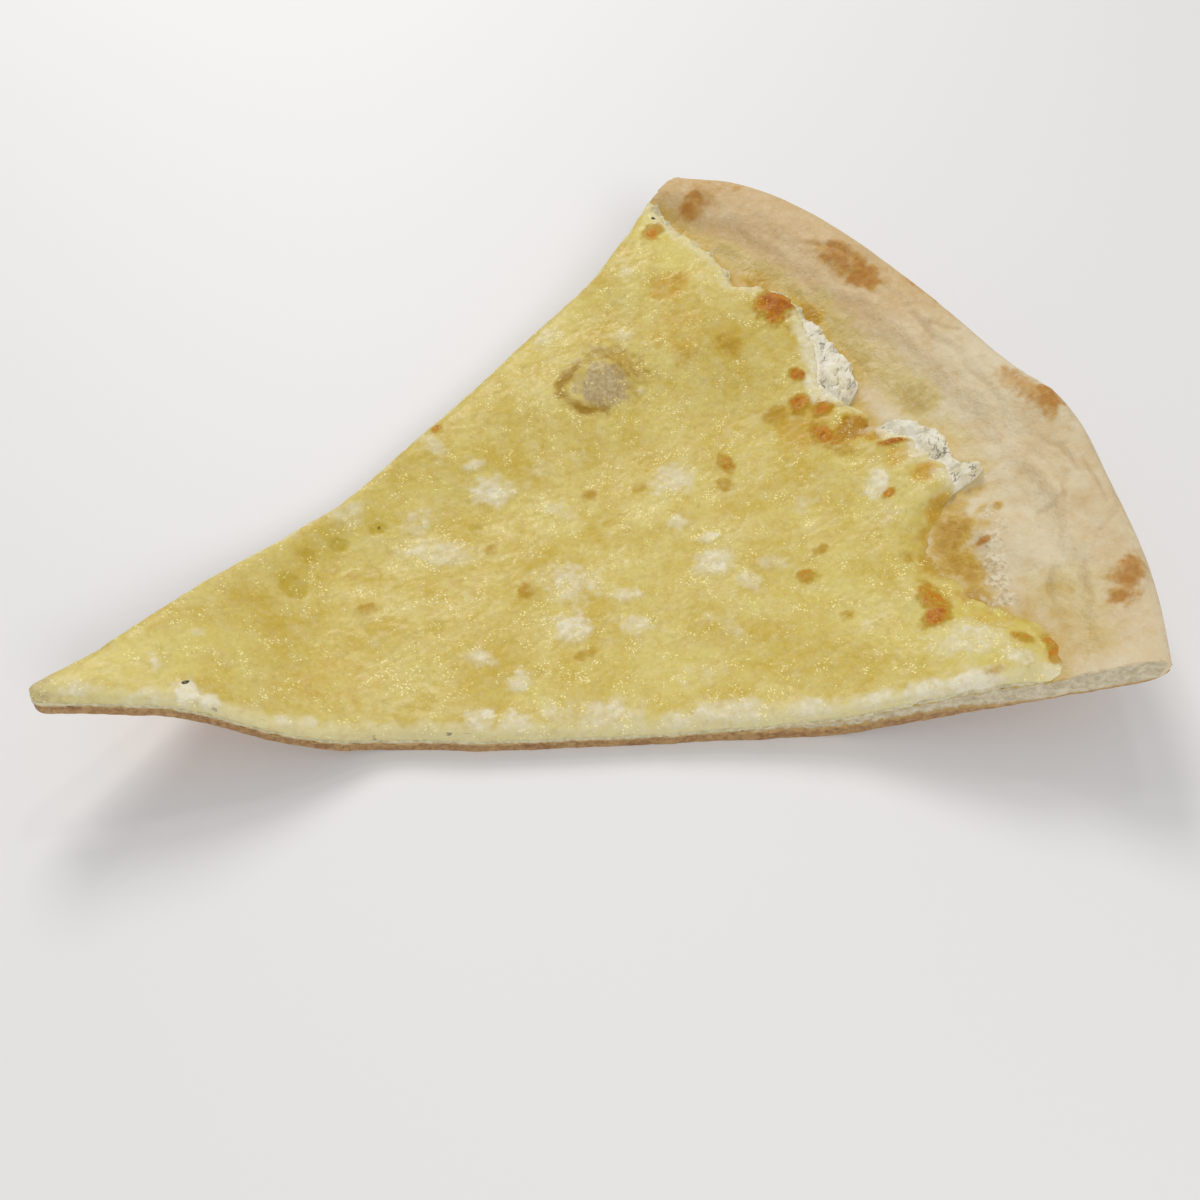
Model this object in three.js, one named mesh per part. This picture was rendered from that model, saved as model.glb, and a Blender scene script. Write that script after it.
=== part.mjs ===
// A slice of white cheese pizza that has sagged into a shallow dish and kept that shape: a thin dough base
// that swells into the rim, a layer of ricotta on it, and melted cheese on top.
//
// Millimetres, +Z up. While the slice is worked out, the corner where its two cuts would meet is the origin,
// +X runs along the middle of the slice to the rim, +Y is the side of the back cut, and the belly rests at
// z = 0. Directions are degrees from +X about that corner. The group at the end moves the origin to the
// middle of the footprint.

import * as THREE from "three";

// ---- driving dimensions: outline ----
const HALF_ANGLE = 24.3; // half the angle between the cuts
const NOSE_RADIUS = 3.1; // the worn tip
const NOSE_FACE = 0.2; // how far the first row lies behind the very tip
const RIM_RADIUS = [ // [direction, distance from the corner]
  [-24.3, 234], [-19, 238], [-13, 240.8], [-7.5, 243.6], [-2, 240.2], [5, 239.4], [12, 239.2],
  [17, 237.8], [21, 234.6], [24.3, 228.4],
];
const FRONT_WANDER = [ // [distance from the corner, how far the cut strays outwards]
  [5, 0], [30, -0.9], [49, 1], [59, 0.6], [71, -0.9], [92, 0.3], [150, 0], [200, 0.2], [225, 0.7], [245, 0.7],
];
const BACK_WANDER = [
  [5, 0], [29, -1.1], [52, 1], [75, 0.5], [88, -0.6], [125, 0], [152, 0.9], [166, 0.7], [183, -1.3],
  [198, 0.3], [212, 2.3], [222, 1.4], [230, 0],
];

// ---- driving dimensions: how the slice hangs ----
const DISH_X = 129; // middle of the dish it sagged into
const DISH_Y = -14;
const DISH_FLOOR = 62.5; // radius of the dish's flat floor
const DISH_EDGE = 110; // radius where its side ends
const DISH_DEPTH = 18; // the tip hangs this high
const DISH_FADE = 30; // the side rises only tipwards of the middle, and to full height this far from it
const TIP_CURL = 3.5; // the last bit of the tip curls up by this much more
const TIP_CURL_LENGTH = 25;
const FOLD_AT_CUTS = 168; // where the stiff rim starts to lift off, along the cuts
const FOLD_IN_MIDDLE = 181; // and along the middle
const FOLD_SOFTNESS = 7;
const RIM_LIFT = 21.5; // the underside of the rim lies this high
const RIM_LIFT_AT = 239;
const BACK_LIFT = 6.2; // the back cut hangs a little free of the floor
const BACK_LIFT_FROM = 15;
const BACK_LIFT_TO = 48;
const LIFT_BLEND = 20; // the back cut's own lift fades where the slice already hangs this high

// ---- driving dimensions: dough ----
const BASE_THICKNESS = 2.6;
const SWELL = 5.2; // what the dough gains towards the rim
const SWELL_FROM = 125;
const SWELL_TO = 200;
const RIM_RISE = [ // [direction, height of the rolled edge]
  [-24.3, 0.8], [-16, 2], [-6, 3], [8, 3.2], [19, 4.4], [24.3, 4.6],
];
const ROLL_TOP = 10; // the roll is full this far in from the edge
const ROLL_FOOT = 20; // and ends this far in
const VALLEY_DEPTH = 0.8; // the bare dough dips between roll and cheese
const VALLEY_WIDTH = 7;
const VALLEY_AT = 25;
const EDGE_ROUND = 8; // rounding of the outer edge, on top
const EDGE_ROUND_UNDER = 5; // and below
const EDGE_LOW = 0.38; // the edge's face spans these shares of the thickness
const EDGE_HIGH = 0.5;
const DOUGH_BUBBLES = [ // where, how long away from the tip, how wide, how high
  { at: 160, to: 15.6, long: 9.5, wide: 10, high: 2.6 },
  { at: 213, to: -13.9, long: 10, wide: 11, high: 3 },
  { at: 222, to: 22.5, long: 8, wide: 7, high: 0.9 },
  { at: 231.5, to: 10.2, long: 6, wide: 13, high: 1.3 },
  { at: 238, to: -6.5, long: 7, wide: 11, high: 1.6 },
  { at: 230, to: -18.9, long: 7, wide: 9, high: 1.1 },
];

// ---- driving dimensions: ricotta ----
const RICOTTA_THICKNESS = 1;
const RICOTTA_HEAP = 2.2; // the lumps that stick out past the cheese are thicker by this much
const RICOTTA_EDGE = 3.2; // width over which its border falls off
const RICOTTA_EDGE_LOW = 0.35;
const RICOTTA_INSET = 0.4; // the layer stops this far short of the cuts
const HEAP_CLEARANCE = 1.6; // they start this far past the cheese's edge
const HEAP_LEAST = 1;
const HEAP_NARROWEST = 3.5; // a strip narrower than this has no lumps
const HEAP_FULL_WIDTH = 8;
const HEAP_SLOPE = 2.2;
const CURD_HEIGHT = 0.45;
const CURD_PITCH = 7.5;
const RICOTTA_BORDER = [
  [-24.3, 207], [-22, 200], [-19.5, 195], [-16.5, 189], [-14, 189], [-12, 195], [-10.6, 203.5], [-9.4, 214],
  [-7.7, 218], [-6, 216.5], [-4.3, 215], [-2.3, 210], [-0.6, 203], [0.8, 203], [2.2, 208.5], [3.6, 211.2],
  [5, 212], [6.8, 211.5], [9.6, 206.5], [12, 207.5], [16, 208], [18.5, 210.5], [21.5, 211.5], [24.3, 214.5],
];

// ---- driving dimensions: melted cheese ----
const CHEESE_THICKNESS = 1.8;
const CHEESE_EDGE_THICKNESS = 0.7;
const CHEESE_CUT_SLOPE = 5; // it thins over this width along the cuts
const CHEESE_BORDER_SLOPE = 4; // and over this width along its border
const CHEESE_INSET = 0.7;
const CHEESE_WAVE = 0.3; // height of its slow waves
const CHEESE_WAVE_LENGTH = 34;
const CHEESE_BORDER = [
  [-24.3, 211], [-22, 206.5], [-19.5, 200.5], [-16.5, 195], [-13.5, 196], [-10.5, 203.5], [-8, 210],
  [-4, 208.5], [-1, 199.5], [1, 196], [3, 197], [5, 201.5], [7.5, 207.5], [10.5, 212], [13, 206], [16, 203],
  [19, 203.8], [21.5, 208.5], [24.3, 213],
];
const LAYER_GAP = 0.35; // clearance between one layer and the next
const RICOTTA_CLEARANCE = 2; // the cheese drops to the dough this far past the ricotta
const CHEESE_DROP = 2.5; // and over this width

// ---- mesh resolution ----
const CRUST_ROWS = 40;
const COLUMNS = 30;
const SHARED_REACH = 0.76; // up to this share of the way to the rim, all layers have their rows in line
const BORDER_ROWS = 7; // rows from there to the cheese's border
const RICOTTA_ROWS = 6; // rows from there to the edge of the cheese
const HEAP_ROWS = 3; // rows of the ricotta past it
const ROW_CROWDING = 1.4; // above 1 crowds the rows towards the outer border
const COLUMN_CROWDING = 0.4; // share of the columns' spacing that crowds them towards the cuts
const SETTLING_STEPS = 5; // steps that find where a wandering column meets a border

// ---- small tools ----
const RADIAN = Math.PI / 180;

function smooth(share) {
  const t = Math.min(1, Math.max(0, share));
  return t * t * (3 - 2 * t);
}

// 0 below -softness, the value itself above +softness, and a smooth bend between
function softHinge(value, softness) {
  const t = Math.min(1, Math.max(0, (value + softness) / (2 * softness)));
  return value > softness ? value : softness * t * t;
}

// smooth curve through [place, value] pairs
function through(points, place) {
  const last = points.length - 1;
  const at = Math.min(points[last][0], Math.max(points[0][0], place));
  let i = 0;
  while (i < last - 1 && at > points[i + 1][0]) i += 1;
  const slope = (k) => {
    const before = points[Math.max(0, k - 1)];
    const after = points[Math.min(last, k + 1)];
    return (after[1] - before[1]) / (after[0] - before[0]);
  };
  const [x0, y0] = points[i];
  const [x1, y1] = points[i + 1];
  const width = x1 - x0;
  const t = (at - x0) / width;
  const rest = 1 - t;
  const start = rest * rest * ((1 + 2 * t) * y0 + t * width * slope(i));
  const end = t * t * ((1 + 2 * rest) * y1 - rest * width * slope(i + 1));
  return start + end;
}

function polar(x, y) {
  return { away: Math.hypot(x, y), toward: Math.atan2(y, x) / RADIAN };
}

// ---- outline ----
const NOSE_CENTRE = NOSE_RADIUS / Math.sin(HALF_ANGLE * RADIAN);
const NOSE_TANGENT = NOSE_CENTRE * Math.cos(HALF_ANGLE * RADIAN);
const FIRST_ROW = NOSE_CENTRE - NOSE_RADIUS + NOSE_FACE;

// half the slice's opening at a distance from the corner, in degrees
function halfOpening(away) {
  if (away >= NOSE_TANGENT) return HALF_ANGLE;
  const cosine = (away ** 2 + NOSE_CENTRE ** 2 - NOSE_RADIUS ** 2) / (2 * away * NOSE_CENTRE);
  return Math.acos(Math.min(1, cosine)) / RADIAN;
}

// directions of the two cuts at a distance from the corner, for a layer that stops short of them
function cutsAt(away, inset) {
  const opening = halfOpening(away);
  const turn = (length) => length / away / RADIAN;
  return {
    front: -opening - turn(through(FRONT_WANDER, away) - inset),
    back: opening + turn(through(BACK_WANDER, away) - inset),
  };
}

function distanceToCut(away, toward) {
  const cuts = cutsAt(away, 0);
  return away * Math.sin(Math.max(0, Math.min(toward - cuts.front, cuts.back - toward)) * RADIAN);
}

// ---- how the slice hangs ----
function underside(x, y) {
  const { away, toward } = polar(x, y);
  const fromDish = Math.hypot(x - DISH_X, y - DISH_Y);
  const tipwards = smooth((DISH_X - x) / DISH_FADE);
  const dishSide = tipwards * DISH_DEPTH * smooth((fromDish - DISH_FLOOR) / (DISH_EDGE - DISH_FLOOR));
  const curl = TIP_CURL * smooth(1 - away / TIP_CURL_LENGTH);
  const middle = Math.max(0, 1 - (toward / HALF_ANGLE) ** 2);
  const fold = FOLD_AT_CUTS + (FOLD_IN_MIDDLE - FOLD_AT_CUTS) * middle;
  const rim = (RIM_LIFT / (RIM_LIFT_AT - fold)) * softHinge(away - fold, FOLD_SOFTNESS);
  const hang = dishSide + curl + rim;
  const back = BACK_LIFT * smooth((y - BACK_LIFT_FROM) / (BACK_LIFT_TO - BACK_LIFT_FROM));
  return hang + back * (1 - smooth(hang / LIFT_BLEND));
}

// ---- dough ----
function bubbleHeight(away, toward) {
  let height = 0;
  for (const bubble of DOUGH_BUBBLES) {
    const alongRay = (away - bubble.at) / bubble.long;
    const across = ((toward - bubble.to) * RADIAN * bubble.at) / bubble.wide;
    const distance = Math.hypot(alongRay, across);
    height += distance < 1 ? bubble.high * (1 - distance ** 2) ** 2 : 0;
  }
  return height;
}

function doughThickness(away, toward) {
  const inFromEdge = through(RIM_RADIUS, toward) - away;
  const swell = SWELL * smooth((away - SWELL_FROM) / (SWELL_TO - SWELL_FROM));
  const roll = through(RIM_RISE, toward) * smooth((ROLL_FOOT - inFromEdge) / (ROLL_FOOT - ROLL_TOP));
  const valley = VALLEY_DEPTH * smooth(1 - Math.abs(inFromEdge - VALLEY_AT) / VALLEY_WIDTH);
  return BASE_THICKNESS + swell + roll - valley + bubbleHeight(away, toward);
}

// share of a quarter round of the given width that is left at a distance in from the edge
function quarterRound(inFromEdge, width) {
  const t = Math.min(1, Math.max(0, inFromEdge / width));
  return Math.sqrt(1 - (1 - t) ** 2);
}

function doughTop(x, y) {
  const { away, toward } = polar(x, y);
  const inFromEdge = through(RIM_RADIUS, toward) - away;
  const share = EDGE_HIGH + (1 - EDGE_HIGH) * quarterRound(inFromEdge, EDGE_ROUND);
  return underside(x, y) + doughThickness(away, toward) * share;
}

function doughBottom(x, y) {
  const { away, toward } = polar(x, y);
  const inFromEdge = through(RIM_RADIUS, toward) - away;
  const share = EDGE_LOW * (1 - quarterRound(inFromEdge, EDGE_ROUND_UNDER));
  return underside(x, y) + doughThickness(away, toward) * share;
}

// ---- ricotta ----
// where the ricotta comes out from under the cheese, or just short of its border where it doesn't
function ricottaMark(toward) {
  const pastCheese = through(CHEESE_BORDER, toward) + HEAP_CLEARANCE;
  return Math.min(pastCheese, through(RICOTTA_BORDER, toward) - HEAP_LEAST);
}

function ricottaThickness(away, toward) {
  const toBorder = through(RICOTTA_BORDER, toward) - away;
  const bare = smooth((away - ricottaMark(toward)) / HEAP_SLOPE) * smooth(toBorder / HEAP_SLOPE);
  const turns = (2 * Math.PI) / CURD_PITCH;
  const curds = Math.sin(away * turns) * Math.sin(toward * RADIAN * away * turns);
  const shownWidth = through(RICOTTA_BORDER, toward) - ricottaMark(toward);
  const shown = smooth((shownWidth - HEAP_NARROWEST) / (HEAP_FULL_WIDTH - HEAP_NARROWEST));
  const heap = bare * shown * (RICOTTA_HEAP + CURD_HEIGHT * curds);
  const edge = RICOTTA_EDGE_LOW + (1 - RICOTTA_EDGE_LOW) * smooth(toBorder / RICOTTA_EDGE);
  return RICOTTA_THICKNESS * edge + heap;
}

function ricottaBottom(x, y) {
  return doughTop(x, y) + LAYER_GAP;
}

function ricottaTop(x, y) {
  const { away, toward } = polar(x, y);
  return ricottaBottom(x, y) + ricottaThickness(away, toward);
}

// ---- melted cheese ----
function cheeseBottom(x, y) {
  const { away, toward } = polar(x, y);
  const toRicotta = through(RICOTTA_BORDER, toward) + RICOTTA_CLEARANCE - away;
  const onRicotta = smooth(1 + toRicotta / CHEESE_DROP);
  return doughTop(x, y) + LAYER_GAP + onRicotta * (RICOTTA_THICKNESS + LAYER_GAP);
}

function cheeseTop(x, y) {
  const { away, toward } = polar(x, y);
  const toBorder = through(CHEESE_BORDER, toward) - away;
  const fullAcross = quarterRound(distanceToCut(away, toward), CHEESE_CUT_SLOPE);
  const full = fullAcross * quarterRound(toBorder, CHEESE_BORDER_SLOPE);
  const turns = (2 * Math.PI) / CHEESE_WAVE_LENGTH;
  const wave = CHEESE_WAVE * Math.sin(x * turns) * Math.cos(y * turns);
  const thickness = CHEESE_EDGE_THICKNESS + full * (CHEESE_THICKNESS - CHEESE_EDGE_THICKNESS + wave);
  return cheeseBottom(x, y) + thickness;
}

// ---- rows and columns ----
function rowShare(row, rows) {
  return 1 - (1 - row / rows) ** ROW_CROWDING;
}

function columnShare(column) {
  const t = (2 * column) / COLUMNS - 1;
  const crowded = Math.sin((t * Math.PI) / 2);
  return ((1 - COLUMN_CROWDING) * t + COLUMN_CROWDING * crowded + 1) / 2;
}

// direction of a column, given as its share of the way from the front cut to the back cut
function directionAt(away, share, inset) {
  const cuts = cutsAt(away, inset);
  return cuts.front + (cuts.back - cuts.front) * share;
}

// where a column meets a border that is given by direction
function reachOf(border, share) {
  let away = border(HALF_ANGLE * (2 * share - 1));
  for (let step = 0; step < SETTLING_STEPS; step += 1) away = border(directionAt(away, share, 0));
  return away;
}

// distances of the crust's rows from the corner, along a column
function crustRows(share) {
  const rim = reachOf((toward) => through(RIM_RADIUS, toward), share);
  const rows = [];
  for (let row = 0; row <= CRUST_ROWS; row += 1) {
    rows.push(FIRST_ROW + (rim - FIRST_ROW) * rowShare(row, CRUST_ROWS));
  }
  return rows;
}

// the crust's rows as far as the layers share them, for a layer that starts behind the crust's tip
function sharedRows(share, inset) {
  const rows = crustRows(share).filter((away, row) => rowShare(row, CRUST_ROWS) < SHARED_REACH);
  rows[0] += 2 * inset;
  return rows;
}

function carryOn(rows, to, count) {
  const from = rows[rows.length - 1];
  for (let step = 1; step <= count; step += 1) {
    rows.push(from + ((to - from) * step) / count);
  }
  return rows;
}

function ricottaRows(share) {
  const rows = carryOn(sharedRows(share, RICOTTA_INSET), reachOf(ricottaMark, share), RICOTTA_ROWS);
  return carryOn(rows, reachOf((toward) => through(RICOTTA_BORDER, toward), share), HEAP_ROWS);
}

function cheeseRows(share) {
  const border = reachOf((toward) => through(CHEESE_BORDER, toward), share);
  return carryOn(sharedRows(share, CHEESE_INSET), border, BORDER_ROWS);
}

// ---- closed sheets ----
// a closed body between two surfaces, over a grid that fans out from the tip
function layer({ rowsAlong, inset, bottom, top }) {
  const spots = [];
  for (let column = 0; column <= COLUMNS; column += 1) {
    const share = columnShare(column);
    const atCut = column === 0 || column === COLUMNS;
    const line = rowsAlong(share).map((away) => {
      const toward = directionAt(away, share, atCut ? inset : 0) * RADIAN;
      return [away * Math.cos(toward), away * Math.sin(toward)];
    });
    spots.push(line);
  }
  const rows = spots[0].length;
  const positions = [];
  for (const surface of [bottom, top]) {
    for (const line of spots) {
      for (const [x, y] of line) positions.push(x, y, surface(x, y));
    }
  }
  const low = (row, column) => column * rows + row;
  const high = (row, column) => (COLUMNS + 1 + column) * rows + row;
  const index = [];
  const quad = (a, b, c, d) => index.push(a, b, c, a, c, d);
  for (let row = 0; row < rows - 1; row += 1) {
    for (let column = 0; column < COLUMNS; column += 1) {
      quad(high(row, column), high(row + 1, column), high(row + 1, column + 1), high(row, column + 1));
      quad(low(row, column), low(row, column + 1), low(row + 1, column + 1), low(row + 1, column));
    }
    quad(low(row, 0), low(row + 1, 0), high(row + 1, 0), high(row, 0));
    quad(low(row + 1, COLUMNS), low(row, COLUMNS), high(row, COLUMNS), high(row + 1, COLUMNS));
  }
  const last = rows - 1;
  for (let column = 0; column < COLUMNS; column += 1) {
    quad(low(0, column + 1), low(0, column), high(0, column), high(0, column + 1));
    quad(low(last, column), low(last, column + 1), high(last, column + 1), high(last, column));
  }
  const geometry = new THREE.BufferGeometry();
  geometry.setAttribute("position", new THREE.Float32BufferAttribute(positions, 3));
  geometry.setIndex(index);
  geometry.computeVertexNormals();
  return geometry;
}

function piece(name, color, roughness, geometry) {
  const material = new THREE.MeshStandardMaterial({ color, roughness, metalness: 0 });
  const mesh = new THREE.Mesh(geometry, material);
  mesh.name = name;
  return mesh;
}

const crust = piece("crust", 0xd8bd8f, 0.8, layer({
  rowsAlong: crustRows,
  inset: 0,
  bottom: doughBottom,
  top: doughTop,
}));

const ricotta = piece("ricotta", 0xefe9d8, 0.6, layer({
  rowsAlong: ricottaRows,
  inset: RICOTTA_INSET,
  bottom: ricottaBottom,
  top: ricottaTop,
}));

const cheese = piece("cheese", 0xe3ca79, 0.35, layer({
  rowsAlong: cheeseRows,
  inset: CHEESE_INSET,
  bottom: cheeseBottom,
  top: cheeseTop,
}));

const slice = new THREE.Group();
slice.add(crust, ricotta, cheese);

const reach = new THREE.Box3().setFromObject(slice);
const middle = reach.getCenter(new THREE.Vector3());
slice.position.set(-middle.x, -middle.y, -reach.min.z);

const group = new THREE.Group();
group.add(slice);

export default group;
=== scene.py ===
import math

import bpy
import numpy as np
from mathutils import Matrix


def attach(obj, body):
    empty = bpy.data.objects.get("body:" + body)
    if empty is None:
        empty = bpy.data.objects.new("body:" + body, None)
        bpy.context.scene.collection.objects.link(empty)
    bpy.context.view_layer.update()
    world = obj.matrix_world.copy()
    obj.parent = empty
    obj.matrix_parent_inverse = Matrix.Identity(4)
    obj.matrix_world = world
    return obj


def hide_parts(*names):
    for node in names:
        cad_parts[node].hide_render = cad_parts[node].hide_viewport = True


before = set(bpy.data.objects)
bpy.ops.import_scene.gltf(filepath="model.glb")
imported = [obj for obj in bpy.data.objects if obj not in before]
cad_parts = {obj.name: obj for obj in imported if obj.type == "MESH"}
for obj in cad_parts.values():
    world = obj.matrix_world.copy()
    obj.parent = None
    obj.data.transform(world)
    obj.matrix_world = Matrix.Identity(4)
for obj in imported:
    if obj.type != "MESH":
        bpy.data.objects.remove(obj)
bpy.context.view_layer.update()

# The looks of a slice of white cheese pizza: baked dough, ricotta and melted cheese, each as a finely
# modelled closed body that stands for the frame's plain layer of the same name.
#
# The shape is worked out in millimetres from the corner where the two cuts would meet, with x along the
# middle of the slice to its rim, y towards the back cut and z up from the floor. "away" is a distance from
# that corner and "toward" a direction from it in degrees, positive to the back. Blender gets metres.

MM = 0.001
CORNER_AT = (-123.131, 1.352)  # the corner's place in the frame, in mm

# ---- the slice's form, as in the frame ----
HALF_ANGLE = 24.3
NOSE_RADIUS = 3.1
NOSE_FACE = 0.2
RIM_RADIUS = [
    (-24.3, 234), (-19, 238), (-13, 240.8), (-7.5, 243.6), (-2, 240.2), (5, 239.4), (12, 239.2),
    (17, 237.8), (21, 234.6), (24.3, 228.4),
]
FRONT_WANDER = [
    (5, 0), (30, -0.9), (49, 1), (59, 0.6), (71, -0.9), (92, 0.3), (150, 0), (200, 0.2), (225, 0.7),
    (245, 0.7),
]
BACK_WANDER = [
    (5, 0), (29, -1.1), (52, 1), (75, 0.5), (88, -0.6), (125, 0), (152, 0.9), (166, 0.7), (183, -1.3),
    (198, 0.3), (212, 2.3), (222, 1.4), (230, 0),
]

DISH_X = 129
DISH_Y = -14
DISH_FLOOR = 62.5
DISH_EDGE = 110
DISH_DEPTH = 18
DISH_FADE = 30
TIP_CURL = 3.5
TIP_CURL_LENGTH = 25
FOLD_AT_CUTS = 168
FOLD_IN_MIDDLE = 181
FOLD_SOFTNESS = 7
RIM_LIFT = 21.5
RIM_LIFT_AT = 239
BACK_LIFT = 6.2
BACK_LIFT_FROM = 15
BACK_LIFT_TO = 48
LIFT_BLEND = 20

BASE_THICKNESS = 2.6
SWELL = 5.2
SWELL_FROM = 125
SWELL_TO = 200
RIM_RISE = [(-24.3, 0.8), (-16, 2), (-6, 3), (8, 3.2), (19, 4.4), (24.3, 4.6)]
ROLL_TOP = 10
ROLL_FOOT = 20
VALLEY_DEPTH = 0.8
VALLEY_WIDTH = 7
VALLEY_AT = 25
EDGE_ROUND = 8
EDGE_ROUND_UNDER = 5
EDGE_LOW = 0.38
EDGE_HIGH = 0.5
DOUGH_BUBBLES = [  # away, toward, length, width, height
    (160, 15.6, 9.5, 10, 2.6), (213, -13.9, 10, 11, 3), (222, 22.5, 8, 7, 0.9), (231.5, 10.2, 6, 13, 1.3),
    (238, -6.5, 7, 11, 1.6), (230, -18.9, 7, 9, 1.1),
]

RICOTTA_THICKNESS = 1.7  # it fills the frame's clearances too
RICOTTA_HEAP = 1.5
HEAP_CLEARANCE = 0.6
HEAP_SLOPE = 1.6
RICOTTA_EDGE = 1.8
RICOTTA_CUT_SLOPE = 4
RICOTTA_BORDER = [
    (-24.3, 207), (-22, 200), (-19.5, 195), (-16.5, 189), (-14, 189), (-12, 193), (-10.8, 199), (-9.9, 206),
    (-9.3, 213), (-8.7, 219), (-7.9, 217), (-7, 214.5), (-6.2, 216), (-4.8, 216), (-3.4, 213.6),
    (-2.3, 209.5), (-1.2, 203), (0.6, 202), (1.6, 208), (2.7, 211), (4.1, 212), (6, 212.3), (7.7, 213.5),
    (9, 213), (10.4, 214.5), (11.8, 213), (13.2, 210.5), (14.2, 206), (16, 208.8), (17.5, 210.5),
    (19.5, 212.3), (21.5, 212), (24.3, 213.8),
]

CHEESE_THICKNESS = 2.1  # it fills the clearance below it too
CHEESE_CUT_THICKNESS = 0.5
CHEESE_BORDER_THICKNESS = 0.15
CHEESE_CUT_SLOPE = 5
CHEESE_BORDER_SLOPE = 5
THIN_BORDER_SLOPE = 10  # where it has run down onto the dough
CHEESE_WAVE = 0.3
CHEESE_WAVE_LENGTH = 34
CHEESE_BORDER = [
    (-24.3, 210.5), (-23.2, 213), (-21.8, 213.6), (-20.4, 211.8), (-19.2, 207.6), (-18, 203), (-16, 200.5),
    (-13.5, 198), (-11.5, 201), (-10.3, 206), (-9, 210.5), (-7.2, 211), (-5.8, 208.7), (-4.4, 209.5),
    (-3.2, 206), (-2, 205), (0, 205.5), (1.2, 203), (2.3, 201), (4, 202.3), (5, 205), (6.5, 207.5),
    (8.5, 210), (10.5, 212.3), (12, 210.5), (13, 208.5), (14.2, 204.5), (16, 207.3), (17.5, 209),
    (19.5, 210.3), (21.5, 210.4), (24.3, 212.5),
]
CHEESE_DROP = 7  # it comes down to the dough over this width past the ricotta
OVERLAP = 0.15  # each layer sinks this far into the one below
SUNK_AT_CUT = 0.35  # and the cheese this much deeper along the cuts

# ---- marks on the food: x, y, length, width, direction of the length, strength ----
TOASTED = [  # browned bubbles of the cheese
    (203.6, 38.2, 11, 10, 60, 1.15), (189, 78.8, 8, 5, 30, 0.8), (212, 32, 3.5, 6, 0, 0.7),
    (187.8, 34.8, 5, 7, 20, 0.5), (177, 37.5, 6, 4, 0, 0.3), (197.6, 17.6, 3.3, 4.5, 0, 1.05),
    (187.7, 11, 6, 5, 0, 0.6), (193.6, 9.8, 4.5, 6.5, -20, 0.95), (197.2, 4.8, 4.5, 3.4, 0, 0.9),
    (193.5, -1.8, 4.5, 9, 10, 1), (194.6, -8.5, 4, 6.5, 10, 0.55), (184.9, -56.4, 10, 6, 75, 0.88),
    (182.4, -60.4, 8, 5, 20, 1), (167.5, -34, 4.5, 4, 0, 0.8), (174, -29.5, 5, 2.5, 20, 0.55),
    (188, -42.8, 4.5, 4, 0, 0.4), (168.5, -48, 3.5, 2.5, 0, 0.45), (197.1, -80.4, 8.5, 4, 62, 0.85),
    (193.4, -75, 3, 5, 40, 0.8), (169.5, 5, 4, 6.5, 0, 0.75), (165.7, -0.5, 4, 5, 0, 0.55),
    (135, 13, 4.5, 3.5, 0, 0.6), (147, 9.5, 3.5, 3.5, 0, 0.45), (106, 8, 3.5, 4, 0, 0.5),
    (108, -6.5, 4.5, 4, 0, 0.6), (111.5, -28.5, 5, 3, 0, 0.4), (73.5, 5, 5.5, 3, 0, 0.5),
    (74, 15.5, 4, 4, 0, 0.35), (108.7, 46, 3.5, 2, 35, 0.95), (194.7, -26.3, 3.5, 2.4, 0, 0.9),
    (204, -14.6, 7, 1.8, -28, 1.25), (182, -79, 5, 3, -30, 0.35), (186.5, 60, 4, 4, 0, 0.35),
    (203.5, 31, 3, 3, 0, 0.35),
]
LEMON = [  # paler, greener cheese
    (194, 74, 34, 22, 35, 0.9), (186, -68, 40, 20, -22, 0.9), (172, -38, 26, 26, 0, 0.45),
    (28, 0, 44, 16, 0, 0.6), (150, 62, 40, 10, 20, 0.5), (120, -40, 50, 16, -22, 0.4),
    (90, 30, 40, 10, 20, 0.4), (190, -20, 16, 18, 0, 0.4),
]
AMBER = [  # cheese browned to gold
    (199.8, -4.5, 11, 8, 0, 1.4), (197, 5.2, 7, 6, 0, 1.2), (204.4, -26.3, 7, 5, 0, 0.95),
    (191, 4, 16, 12, 80, 0.6), (202.5, -8, 8, 7, 0, 1), (183.5, 59, 12, 8, 0, 0.75),
    (207, 50, 4, 7, 0, 0.5), (203, -19, 8, 6, 0, 0.6), (208, -16.5, 5, 3, -20, 0.7),
    (160, 42, 9, 13, 0, 0.3), (60, -10, 24, 16, 0, 0.3), (95, 2, 18, 14, 0, 0.2), (188, 36, 8, 12, 0, 0.35),
    (202, -36.5, 9, 6, 10, 0.9), (199, -43, 7, 9, 30, 0.8), (192, -49, 6, 10, 50, 0.5),
    (189, -57, 6, 9, 40, 0.5), (191, -66, 5, 8, 0, 0.5), (197, -71.5, 16, 10, 60, 0.35),
    (201, -78, 9, 9, 60, 0.5), (197, -83, 5, 5, 0, 0.6), (205, 46, 5, 4, 0, 0.6),
    (178, 45, 14, 14, 0, 0.45), (197, -41, 6, 8, 20, 0.4), (197, 24, 8, 8, 0, 0.2),
]
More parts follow.
